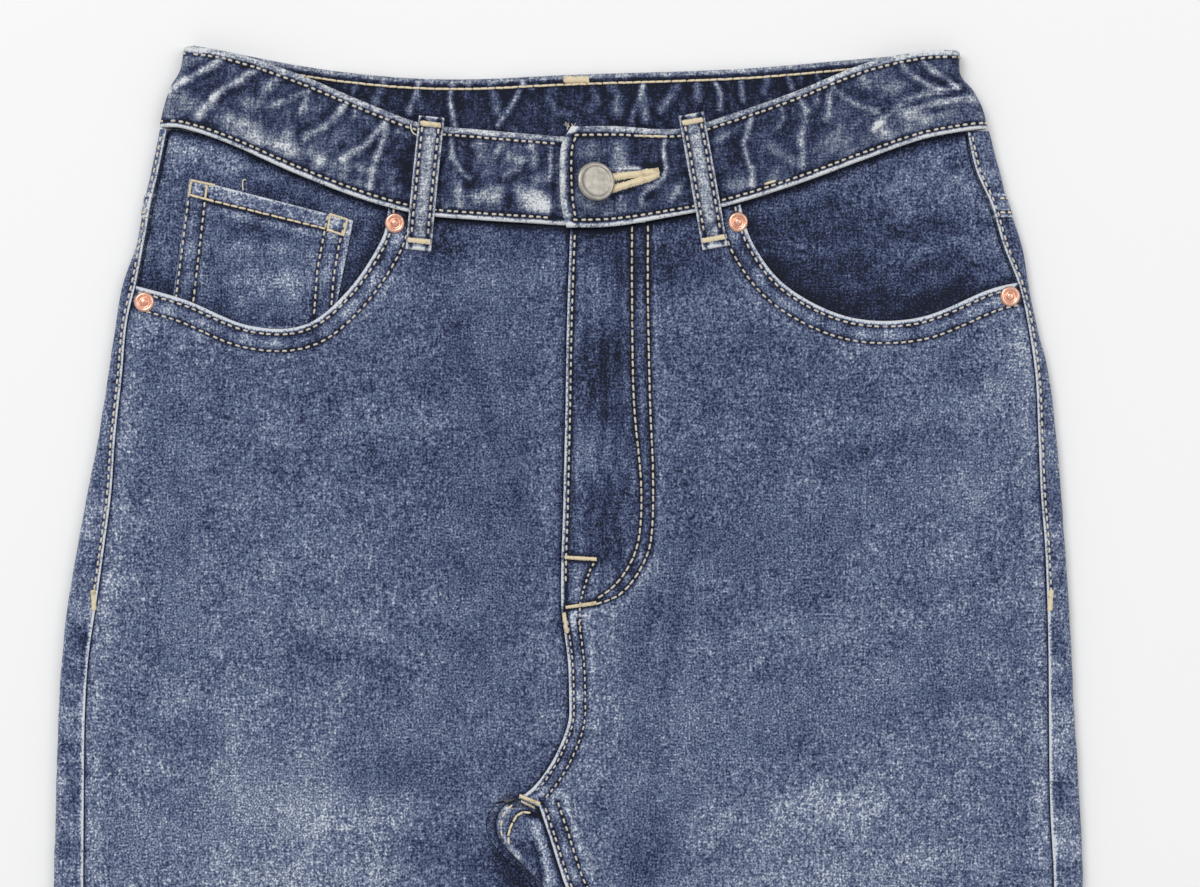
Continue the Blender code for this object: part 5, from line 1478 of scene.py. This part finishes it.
def buildWaistband():
    shares = np.array([
        0, 12, 26, 42, 56, 66, 78, 88, 98, 110, 126, 155, 190, 230, 270, 310, 350, 390, 430, 470, 510, 550,
        590, 630, 670, 710, 750, 790, 830, 870, 895, 910, 925, 940, 952, 964, 976, 988, 1000]) / 1000
    ends = np.array([0, 0.0003, 0.0008, 0.0015, 0.0023, 0.0032])
    lengths = {"left": 0.176, "leftFold": 0.0, "back": 0.35, "rightFold": 0.0, "right": 0.201}
    outer, inner, washAndShadingOut, washAndShadingIn, count = [], [], [], [], 0
    for place, length in lengths.items():
        t = np.linspace(0, 1, 14)[1:-1]
        if place == "back":
            t = np.linspace(0, 1, 380)
        elif length:
            t = np.concatenate([ends, np.arange(0.0041, length, 0.0009), [length]]) / length
        if place == "right":
            t = 1 - t[::-1]
        t, share = np.meshgrid(t, shares, indexing="ij")
        fromEnd = {"left": t * length, "right": (1 - t) * length}.get(place, np.ones(t.shape))
        edge = np.minimum(np.minimum(share, 1 - share) * band["width"], fromEnd)
        rim = roundedRim(edge, band["rim"], 0.0009)
        x, drop, z, pale = bandPlace(place, t, share, rim)[:4]
        outer.append(np.stack([x, drop, z], axis=-1).reshape(-1, 3))
        shown = 0 * pale if place == "back" else pale
        washAndShadingOut.append(bandLook(x, share, shown, fromEnd if place == "left" else 1.0).ravel())
        x, drop, z, pale = bandPlace(place, t, share, band["wall"] - rim)[:4]
        inner.append(np.stack([x, drop, z], axis=-1).reshape(-1, 3))
        down = share * band["width"]
        inside = 0.16 + (0.98 * pale if place == "back" else 0)
        inside += 0.5 * softEdge(down, 0.0014, 0.0008)
        # the chain stitch's groove is painted dark as shade
        inside += 0.05 * waviness(x, drop, 0.01, 51) - 0.3 * bell(down - 0.0044, 0.0013)
        inside += 0.05 * waviness(x, drop, 0.0045, 53) - 0.1 * bell(down - 0.0085, 0.0025)
        washAndShadingIn.append(inside.ravel())
        count += len(t)
    piece = gridCloth("waistbandCloth", (count, len(shares)), np.vstack(outer), np.vstack(inner),
                      (np.concatenate(washAndShadingOut), np.concatenate(washAndShadingIn)), (0.2, 0.14), bandDenim)
    cutter = buttonholeCutter()
    cut = piece.modifiers.new("buttonhole", "BOOLEAN")
    cut.operation, cut.solver, cut.object = "DIFFERENCE", "EXACT", cutter
    cutMesh = bakedMesh(piece)
    piece.modifiers.clear()
    piece.data = cutMesh
    bpy.data.objects.remove(cutter)
    standIn(piece, "waistband")


def bandPath(place, low, high, share, count, depth=0.0):
    t = np.linspace(low, high, count)
    x, drop, z, _, nx, nz = bandPlace(place, t, np.full(count, share), np.full(count, depth))
    return stack(x, drop, z), stack(nx, np.zeros(count), nz)


def sewWaistband():
    row = {"pitch": 0.0033, "length": 0.0022, "radius": 0.00052}
    for share in band["rows"]:
        for place, low, high, count in (("left", 0.02, 1, 260), ("right", 0, 0.81, 260),
                                        ("leftFold", 0, 1, 30), ("rightFold", 0, 1, 30),
                                        ("back", 0, 1, 260)):
            path, normals = bandPath(place, low, high, share, count)
            path[:, 2] += 0.0009 * (1 - normals[:, 2]) / 2
            sewPath("pale", path, normals, **row)
    # the chain stitch inside the back of the band
    path, normals = bandPath("back", 0.004, 0.996, 0.115, 320, band["wall"])
    sewPath("cream", path + (0, 0, 0.00012), -normals, pitch=0.0034, length=0.0036, radius=0.00052)
    # down the overlap's end
    shares = np.linspace(0.1, 0.93, 60)
    place = bandPlace("left", np.full(60, band["endRow"] / 0.176), shares, np.zeros(60))
    sewPath("pale", stack(*place[:3]), **row)
    # a long loose stitch on the top row, and the tail where the lower row ends
    path, _ = bandPath("left", 0.182, 0.27, 0.085, 20)
    sewPath("cream", path + (0, 0, 0.0003), pitch=0.0074, length=0.007, radius=0.0005)
    path, _ = bandPath("left", 0.486, 0.52, 0.885, 12)
    sewPath("cream", path + (0, 0, 0.0002), pitch=0.0058, length=0.0056, radius=0.00055)

    def insideBack(x, drop):
        return floorLift(x, drop) + band["wall"] + 0.0006

    barTack("cream", (-0.002, 0.0172), (0.0092, 0.0172), insideBack, width=0.003)


buildWaistband()
sewWaistband()
print("waistband made")


# Pockets

facing = {
    "bottom": 0.1335,
    "inset": 0.0014,
    "wall": 0.001,
    "depth": {"right": 0.0028, "left": 0.0015},
    "shade": {"right": 0.27, "left": 0.19},
}
coin = {
    "corners": [(-0.1668, 0.0607), (-0.0946, 0.0792), (-0.104, 0.127), (-0.176, 0.127)],
    "wall": 0.001,
    "depth": 0.0015,
    "shade": 0.45,
}


def facingOutline(side):
    sign = signOf[side]
    inset = sign * facing["inset"]
    mouth = pocketMouths[side]
    innerX = mouth[0][0] - sign * 0.007
    seamTop = float(sideSeam(side, along(bandRows[side], 2, sideSeam(side, 0.04))))
    waistX = np.linspace(seamTop - inset, innerX, 50)
    waist = stack(waistX, along(bandRows[side], 2, waistX) + 2 * seamGap)
    bottom = facing["bottom"]
    low = [(mouth[2][0] - sign * 0.008, mouth[2][1]), (mix(mouth[2][0], mouth[3][0], 0.3), bottom)]
    low += [(mix(mouth[3][0], mouth[-1][0], k / 12), bottom) for k in range(12)]
    rise = np.linspace(bottom, waist[0, 1], 34)[:-1]
    edge = stack(sideSeam(side, rise) - inset, rise)
    return np.vstack([waist, evenLine([waist[-1], low[0], low[1]], 0.003)[1:], low[2:], edge])


facingCreases = {
    "left": [
        (1.3, 0.18, 79, 86.5, 96, 88.5, 112, 93), (1.2, 0.2, 82, 92.5, 104, 95.5),
        (11, 0.16, 148, 66, 176, 54), (1.2, 0.08, 84, 82.5, 99, 83.5), (8, 0.08, 148, 76, 160, 72, 174, 66),
        (4.2, 0.24, 187.5, 60, 193, 102), (6.5, 0.15, 142, 97, 172, 90), (7.5, 0.22, 177, 66, 186, 100),
        (12, 0.05, 115, 86, 150, 74), (7, 0.11, 125, 69, 160, 59), (10, -0.08, 85, 102, 110, 118),
        (6, -0.06, 140, 118, 170, 112),
    ],
    "right": [
        (3.5, 0.12, -180, 50, -188, 98), (2, 0.08, -89, 83, -93, 96), (6, 0.24, -176, 47, -148, 57),
        (7, 0.14, -174, 56, -178, 98), (4, -0.08, -138, 62, -105, 76), (5, 0.14, -189, 89, -190.5, 98),
    ],
}


def facingLook(side, x, drop):
    down = drop - along(bandRows[side], 2, x)
    wash = facing["shade"][side] + 0.06 * (waviness(x, drop, 0.014, 61) + waviness(x, drop, 0.006, 63))
    # painted shadow under the band, beside the side seam and under the pocket mouth
    wash += 0.16 * bell(down - 0.0062, 0.004) - 0.3 * bell(down, 0.0024)
    wash -= 0.15 * bell(np.abs(sideSeam(side, drop) - x), 0.0014)
    wash -= 0.18 * bell(nearest(frontLines[side]["mouth"], x, drop), 0.006)
    return wash + lineMarks(facingCreases[side], x, drop)


def buildFacing(side):
    points, faces, away = cutCloth(facingOutline(side), lambda drop: 0.0024)
    x, drop = points.T
    z = frontHeight(x, drop) - facing["depth"][side]
    relief = 0.00014 * waviness(x, drop, 0.012, 71) + 0.0025 * lineMarks(facingCreases[side], x, drop)
    relief = np.where(away < 0.003, 0, relief - 0.0001)
    piece = solidCloth("pocketFacing_" + side, faces, stack(points, z + relief),
                       stack(points, z - facing["wall"]), facingLook(side, x, drop), 0.1, darkDenim)
    standIn(piece, "pocket_facing_" + side)


coinRows = {name: placesOf(places) for name, places in {
    "left": (-166.3, 62.9, -173.5, 120),
    "leftInner": (-159.5, 67.1, -165.7, 121),
    "rightInner": (-105.6, 76.4, -107.7, 86.5, -110.4, 101.2, -112.1, 124),
    "right": (-98.1, 79.6, -100.8, 90, -103.3, 105, -104.5, 121),
    "top": (-166, 68.3, -100, 84.6),
    "topLower": (-155.5, 71.9, -108, 83.6),
}.items()}


def coinSurface(x, drop):
    z = frontHeight(x, drop) - coin["depth"]
    hem = 0.0607 + (x + 0.1668) * (0.0792 - 0.0607) / (0.1668 - 0.0946)
    down = drop - hem
    wash = coin["shade"] + 0.1 * waviness(x, drop, 0.013, 81) + 0.05 * waviness(x, drop, 0.005, 83)
    turned = upTo(down, 0.0085, 0.001)
    z += 0.0003 * turned - 0.0001
    wash += 0.1 * turned + 0.1 * bell(down - 0.0105, 0.0018) - 0.1 * bell(down - 0.0092, 0.0007)
    wash = wash - 0.14 * bell(down - 0.015, 0.0035) + 0.16 * bell(down - 0.036, 0.008) * bell(
        x + 0.128, 0.014) + 0.12 * bell(down - 0.02, 0.012) * bell(x + 0.11, 0.012)
    # painted shadow under the front panel's pocket mouth
    wash -= 0.2 * bell(nearest(frontLines["right"]["mouth"], x, drop), 0.006)
    for line in coinRows.values():
        z, wash = stitchGroove(line, x, drop, z, wash, depth=0.0002, dark=0.45)
    return z, wash


def buildCoinPocket():
    corners = coin["corners"]
    outline = np.vstack([evenLine([a, b], 0.002)[:-1] for a, b in zip(corners, corners[1:] + corners[:1])])
    points, faces, away = cutCloth(outline, lambda drop: 0.0017, list(coinRows.values()))
    x, drop = points.T
    z, wash = coinSurface(x, drop)
    wash += 0.42 * bell(away, 0.0011)
    base = frontHeight(x, drop) - coin["depth"] - coin["wall"]
    top = z - roundedRim(away, 0.0008, 0.0004)
    piece = solidCloth("coinPocketCloth", faces, stack(points, top), stack(points, base),
                       wash, 0.12, washedDenim)
    standIn(piece, "coin_pocket")

    def onCoin(x, drop):
        return coinSurface(x, drop)[0]

    for row in ("left", "leftInner", "rightInner", "right"):
        sewFlat("pale", coinRows[row], onCoin)
    sewFlat("cream", coinRows["top"], onCoin, pitch=0.0036, length=0.0034)
    boxes = [
        (-165.9, 61.6, -155.3, 63.8), (-166.4, 68, -156, 70.8), (-165.9, 61.6, -166.8, 68),
        (-159, 64, -159.8, 70), (-105, 76.4, -97, 78.9), (-105.6, 83.5, -98.5, 85.8),
        (-104.7, 76.4, -105.8, 84), (-97.2, 78.9, -98.8, 85.7),
    ]
    for box in boxes:
        barTack("cream", *placesOf(box), onCoin, width=0.0011, spacing=0.0006)


def buildBackPocket(side):
    # under the garment: a patch with a turned top and two rows round it
    sign = signOf[side]
    corners = [(0.028, 0.163), (0.163, 0.163), (0.156, 0.29), (0.0955, 0.308), (0.035, 0.29)]
    corners = [(sign * x, d) for x, d in corners]
    outline = np.vstack([evenLine([a, b], 0.004)[:-1] for a, b in zip(corners, corners[1:] + corners[:1])])
    points, faces, away = cutCloth(outline, lambda drop: 0.006)
    x, drop = points.T
    wash = 0.48 + 0.04 * waviness(x, drop, 0.03, 91) + 0.32 * bell(away, 0.0012)
    wash = wash - 0.12 * bell(away - 0.0022, 0.0008) + 0.1 * bell(drop - 0.23, 0.03)
    under = restLift + roundedRim(away, 0.0008, 0.0003)
    piece = solidCloth("backPocketCloth_" + side, faces, stack(points, np.full(len(x), 0.0012)),
                       stack(points, under), wash, 0.15, washedDenim)
    standIn(piece, "back_pocket_" + side)
    middle = np.mean(corners, axis=0)
    for shrink in (0.022, 0.105):
        ring = [mix(np.array(c), middle, shrink) for c in corners]
        sewUnder("cream", [ring[k] for k in (0, 4, 3, 2, 1)])
    for hem in (0.012, 0.018):
        sewUnder("cream", [(corners[0][0] + sign * 0.002, 0.163 + hem),
                           (corners[1][0] - sign * 0.003, 0.163 + hem)])


for side in signOf:
    buildFacing(side)
buildCoinPocket()
for side in signOf:
    buildBackPocket(side)
print("pockets made")


# Belt loops

loop = {
    "width": 0.0112,
    "wall": 0.0015,
    "rowInset": 0.002,
    "shade": 0.66,
    "ends": {
        "right": ((-0.0598, 0.034), (-0.0658, 0.0925)),
        "left": ((0.0541, 0.0328), (0.0647, 0.0915)),
    },
}


def waistZ(x, drop):
    # the highest cloth under a belt loop
    result = np.zeros(np.shape(x))
    for side in signOf:
        rows = bandRows[side]
        top, bottom = along(rows, 1, x), along(rows, 2, x)
        share = np.clip((drop - top) / (bottom - top), 0, 1)
        rise, _ = gatherField("front", x, drop)
        z = np.where(drop > bottom + 0.0008, frontHeight(x, drop), bandFrontZ(side, x) + rise)
        result = np.where((x > 0) == (side == "left"), z, result)
    return result


def loopProfile(side):
    (x1, d1), (x2, d2) = loop["ends"][side]
    reach = loop["width"] / 2
    shares = np.linspace(0, 1, 15)
    under = []
    for share in shares:
        x, drop = mix(x1, x2, share), mix(d1, d2, share)
        grid = [(x + a, drop + b) for a in (-reach, 0, reach) for b in (-0.003, 0, 0.003)]
        gx, gd = np.array(grid).T
        rise = 0.0011 * math.sin(math.pi * float(ease(min(share / 0.88, 1.0))))
        under.append(waistZ(gx, gd).max() + seamGap + rise)
    return shares, np.array(under)


def buildFrontLoop(side):
    start, end = np.array(loop["ends"][side])
    length = math.dist(start, end)
    way = (end - start) / length
    across = np.array([-way[1], way[0]])
    coarse, under = loopProfile(side)
    run = np.unique(np.concatenate([[0, 0.0004, 0.001, length - 0.001, length - 0.0004, length],
                                    np.arange(0.0018, length - 0.0018, 0.0008)]))
    half = loop["width"] / 2
    cross = np.array([1, 0.97, 0.93, 0.88, 0.82, 0.76, 0.7, 0.64, 0.58, 0.51, 0.42, 0.3, 0.15])
    cross = np.concatenate([-cross, [0], cross[::-1]]) * half
    s, c = np.meshgrid(run, cross, indexing="ij")
    low = np.interp(s / length, coarse, under)
    edge = np.minimum(half - np.abs(c), np.minimum(s, length - s))
    fromRow = np.abs(np.abs(c) - (half - loop["rowInset"]))
    thick = loop["wall"] + 0.0005 * bell(length - s - 0.0015, 0.002) + 0.0003 * bell(s, 0.003)
    wavy = 0.00016 * waviness(s, c, 0.007, 101) - 0.0002 * bell(fromRow, 0.0007)
    top = low + thick + wavy - roundedRim(edge, 0.0009, 0.0007)
    outside = np.abs(c) > half - loop["rowInset"]
    # the row grooves are painted dark as shade
    wash = loop["shade"] + 0.36 * bell(edge, 0.0009) - 0.72 * bell(fromRow, 0.001)
    wash = wash - 0.06 * outside * (1 - bell(edge, 0.0008)) + 0.12 * bell(c, 0.0022)
    wash += 0.07 * waviness(s, c, 0.006, 111) + 0.4 * bell(length - s, 0.0022)
    # painted shadow beside each raised bar tack
    for tackAt in (0.0034, length - 0.004):
        wash -= 0.3 * bell(np.abs(s - tackAt) - 0.0014, 0.0008)
    wash -= 0.2 * bell(s - length + 0.01, 0.0016)
    place = (start + s[..., None] * way + c[..., None] * across).reshape(-1, 2)
    outer, inner = stack(place, top.ravel()), stack(place, low.ravel() + 0.0001)
    piece = gridCloth("beltLoop_" + side, s.shape, outer, inner, wash.ravel(), 0.14, bandDenim)
    standIn(piece, "belt_loop_front_" + side)

    def onLoop(x, drop):
        run = (x - start[0]) * way[0] + (drop - start[1]) * way[1]
        base = np.interp(run / length, coarse, under) + loop["wall"]
        return base + 0.0004 * bell(length - run - 0.0015, 0.002) + 0.0003 * bell(run, 0.003)

    for offset in (-1, 1):
        shift = across * offset * (half - loop["rowInset"])
        line = [start + shift + way * 0.0045, start + shift + way * (length - 0.0055)]
        sewFlat("pale", line, onLoop, pitch=0.0037, length=0.0024, radius=0.0005)
    for tackAt, reach in ((0.0034, 0.8), (length - 0.004, 0.88)):
        centre = start + way * tackAt
        barTack("cream", centre - across * half * reach, centre + across * half * reach, onLoop,
                width=0.0024, spacing=0.00048)


def buildBackLoop(place, x):
    # under the garment, flat
    top = float(along(bandRows["back"], 1, x)) + backLoop["inset"]
    half = loop["width"] / 2
    length = backLoop["length"]
    run = np.linspace(0, length, 25)
    cross = np.array([-1, -0.9, -0.6, -0.2, 0.2, 0.6, 0.9, 1]) * half
    s, c = np.meshgrid(run, cross, indexing="ij")
    edge = np.minimum(half - np.abs(c), np.minimum(s, length - s))
    low = restLift + roundedRim(edge, 0.0009, 0.0003)
    wash = 0.54 + 0.3 * bell(edge, 0.0009) + 0.03 * waviness(s, c, 0.006, 121)
    points = stack((x + c).ravel(), (top + s).ravel())
    piece = gridCloth("backLoop_" + place, s.shape, stack(points, np.full(s.size, 0.0012)),
                      stack(points, low.ravel()), wash.ravel(), 0.14, bandDenim)
    standIn(piece, "belt_loop_back_" + place)
    for rowX in (x - 0.0036, x + 0.0036):
        sewUnder("pale", [(rowX, top + 0.003), (rowX, top + length - 0.003)])


for side in signOf:
    buildFrontLoop(side)
for place, x in backLoop["places"].items():
    buildBackLoop(place, x)
print("belt loops made")


# Button, buttonhole and rivets

def turnedPiece(name, profile, sides, place, base, tilt, finish):
    lean = Vector((math.sin(tilt) * 0.94, math.sin(tilt) * 0.34, math.cos(tilt))).normalized()
    across = lean.cross(Vector((0, 1, 0))).normalized()
    forward = lean.cross(across)
    origin = Vector((place[0], waistY - place[1], base))
    points = [origin + lean * profile[0][1]]
    for radius, rise in profile[1:-1]:
        for k in range(sides):
            a = 2 * math.pi * k / sides
            points.append(origin + lean * rise + (across * math.cos(a) + forward * math.sin(a)) * radius)
    points.append(origin + lean * profile[-1][1])
    faces, last = [], len(points) - 1
    rings = len(profile) - 2
    for k in range(sides):
        n = (k + 1) % sides
        faces.append((0, 1 + n, 1 + k))
        faces.append((last, 1 + (rings - 1) * sides + k, 1 + (rings - 1) * sides + n))
        for r in range(rings - 1):
            low, high = 1 + r * sides, 1 + (r + 1) * sides
            faces.append((low + k, low + n, high + n, high + k))
    return addPiece(name, points, faces, finish, 48)


def smoothProfile(points, steps=5):
    line = []
    for a, b in zip(points[1:-1], points[2:-1]):
        line += [tuple(mix(np.array(a), np.array(b), k / steps)) for k in range(steps)]
    line.append(points[-2])
    rounded = np.array(line)
    for _ in range(2):
        rounded[1:-1] = (rounded[:-2] + 2 * rounded[1:-1] + rounded[2:]) / 4
    return [points[0]] + [tuple(p) for p in rounded] + [points[-1]]


rivets = {
    "right_inner": (-0.0761, 0.0805),
    "right_outer": (-0.1864, 0.1153),
    "left_inner": (0.0748, 0.0801),
    "left_outer": (0.1945, 0.1128),
}


def buildButton():
    base = band["underlapHeight"] + seamGap
    cap = band["overlapHeight"] - base + jeansButton["lift"]
    r = jeansButton["radius"]
    face = smoothProfile([
        (0, 0), (r * 0.88, cap), (r * 0.985, cap + 0.0004), (r, cap + 0.001), (r * 0.955, cap + 0.0017),
        (r * 0.88, cap + 0.002), (r * 0.8, cap + 0.0019), (r * 0.73, cap + 0.0016),
        (r * 0.64, cap + 0.0015), (r * 0.3, cap + 0.0016), (r * 0.05, cap + 0.0017), (0, cap + 0.0017),
    ])
    profile = [(0, 0), (jeansButton["shank"], 0.0), (jeansButton["shank"], cap - 0.0001)] + face[1:]
    piece = turnedPiece("jeansButton", profile, 64, jeansButton["place"], base + 0.0005,
                        jeansButton["tilt"], buttonMetal)
    standIn(piece, "button")


def buildRivet(name, place):
    x, drop = place
    base = max(float(frontHeight(np.array(x + a), np.array(drop + b)))
               for a in (-0.004, 0.004) for b in (-0.004, 0.004)) + seamGap
    r = 0.0045
    profile = smoothProfile([
        (0, 0), (r * 0.97, 0.0), (r, 0.0004), (r * 0.92, 0.001), (r * 0.8, 0.0013),
        (r * 0.66, 0.0012), (r * 0.52, 0.0007), (r * 0.42, 0.0007), (r * 0.36, 0.0013),
        (r * 0.26, 0.0018), (r * 0.06, 0.0019), (0, 0.0019),
    ], 4)
    piece = turnedPiece("rivet_cap_" + name, profile, 40, place, base, 0.0, rivetCopper)
    standIn(piece, "rivet_" + name)


def sewButtonhole():
    # two thick satin lips that meet at the far end
    def onBand(x, drop):
        rows = bandRows["left"]
        share = (drop - along(rows, 1, x)) / (along(rows, 2, x) - along(rows, 1, x))
        relief, _ = bandRelief("left", x, drop, share)
        return bandFrontZ("left", x) + relief + 0.0003

    for start, end in (((0.018, 0.0608), (0.04, 0.058)), ((0.0185, 0.0662), (0.04, 0.0597))):
        for lift in (0.0, 0.00035):
            barTack("cream", start, end, lambda x, drop: onBand(x, drop) + lift,
                    width=0.0034 - lift * 3, spacing=0.00046)


buildButton()
for name, place in rivets.items():
    buildRivet(name, place)
sewButtonhole()


def looseThread(name, points, radius, finish):
    curve = bpy.data.curves.new(name, "CURVE")
    curve.dimensions = "3D"
    curve.bevel_depth = radius
    curve.bevel_resolution = 1
    line = curve.splines.new("NURBS")
    line.points.add(len(points) - 1)
    for point, (x, drop, z) in zip(line.points, points):
        point.co = (x, waistY - drop, z, 1)
    line.order_u = 3
    line.use_endpoint_u = True
    shape = addObject(name, curve)
    mesh = bakedMesh(shape)
    bpy.data.objects.remove(shape)
    mesh.materials.clear()
    mesh.materials.append(finish)
    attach(addObject(name, mesh), "root")


looseThread("threadEndCoin", [(-0.143, 0.066, 0.0052), (-0.1434, 0.063, 0.0056),
                              (-0.1428, 0.0612, 0.006), (-0.1418, 0.0614, 0.006)],
            0.00028, creamThread)
looseThread("threadEndLoop", [(-0.069, 0.0372, 0.009), (-0.069, 0.0395, 0.0096),
                              (-0.0676, 0.0418, 0.0096), (-0.0662, 0.042, 0.009)],
            0.00035, paleThread)
for k in range(9):
    chance = random.Random(k)
    bx, bd = 0.0012 + chance.uniform(-0.0022, 0.0022), 0.0392 + chance.uniform(-0.0008, 0.0006)
    looseThread(f"frayedYarn_{k}", [
        (bx, bd, 0.0096), (bx + chance.uniform(-0.001, 0.001), bd - 0.001, 0.01),
        (bx + chance.uniform(-0.002, 0.002), bd - chance.uniform(0.0015, 0.003), 0.0098)],
        0.00012, paleThread)

joinThreads("cream", "creamStitches", creamThread)
joinThreads("pale", "paleStitches", paleThread)
print("sewing made")


# The cut sizes of the cloth

def clothArea(piece):
    mesh = piece.data
    areas = np.zeros(len(mesh.polygons))
    mesh.polygons.foreach_get("area", areas)
    return float(areas.sum()) / 2


cutSizes = {
    "frontPanel": (0.27, 1.022), "backPanel": (0.3, 1.016), "yokePanel": (0.212, 0.09),
    "waistbandCloth": (0.76, 0.046), "pocketFacing": (0.134, 0.096), "coinPocketCloth": (0.082, 0.067),
    "backPocketCloth": (0.135, 0.145), "beltLoop": (0.0115, 0.061), "backLoop": (0.0112, 0.0475),
}
for piece in list(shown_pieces()):
    kind = piece.name.split("_")[0]
    if kind not in cutSizes:
        continue
    width, length = cutSizes[kind]
    area = min(clothArea(piece), 0.999 * width * length)
    print(f"{piece.name}: {clothArea(piece):.4f} m2 of {width * length:.4f}")
    side = piece.name.split("_")[-1]


# Floor, light and camera

studio = {
    "floorSize": 8.0,
    "floorColour": (0.9, 0.9, 0.9),
    "worldColour": (1.0, 1.0, 1.0),
    "worldStrength": 0.6,
    "keyPower": 70.0,
    "keySize": 2.4,
    "keyPlace": (-1.6, 2.2, 3.4),
    "fillPower": 28.0,
    "fillSize": 2.7,
    "fillPlace": (2.4, 1.3, 3.3),
}


def buildFloor():
    half = studio["floorSize"] / 2
    mesh = bpy.data.meshes.new("studioFloor")
    mesh.from_pydata([(-half, -half, 0), (half, -half, 0), (half, half, 0), (-half, half, 0)], [],
                     [(0, 1, 2, 3)])
    material, _, shader = newMaterial("palePaper")
    setInputs(shader, {"Base Color": (*studio["floorColour"], 1), "Roughness": 0.95,
                       "Specular IOR Level": 0.1})
    mesh.materials.append(material)
    floor = addObject("studioFloor", mesh)
    floor.location.z = -0.0003


def areaLight(name, place, power, size, aim=(0, 0.3, 0)):
    data = bpy.data.lights.new(name, "AREA")
    data.energy = power
    data.shape = "DISK"
    data.size = size
    lamp = addObject(name, data)
    lamp.location = place
    lamp.rotation_euler = (Vector(aim) - Vector(place)).to_track_quat("-Z", "Y").to_euler()


def buildLight():
    world = bpy.data.worlds.new("softWhite")
    bpy.context.scene.world = world
    world.use_nodes = True
    background = world.node_tree.nodes["Background"]
    setInputs(background, {"Color": (*studio["worldColour"], 1), "Strength": studio["worldStrength"]})
    areaLight("keyLight", studio["keyPlace"], studio["keyPower"], studio["keySize"])
    areaLight("fillLight", studio["fillPlace"], studio["fillPower"], studio["fillSize"])
    bpy.context.scene.view_settings.view_transform = "Standard"


def buildCamera():
    # straight down, framed as in the photograph
    data = bpy.data.cameras.new("overheadCamera")
    data.sensor_width = 36
    data.clip_end = 20
    distance = 1.6
    data.lens = 36 * distance / 0.528
    camera = addObject("overheadCamera", data)
    camera.location = (0.0141, waistY - 0.1775, distance + 0.0062)
    bpy.context.scene.camera = camera


buildFloor()
buildLight()
buildCamera()
print("studio made")
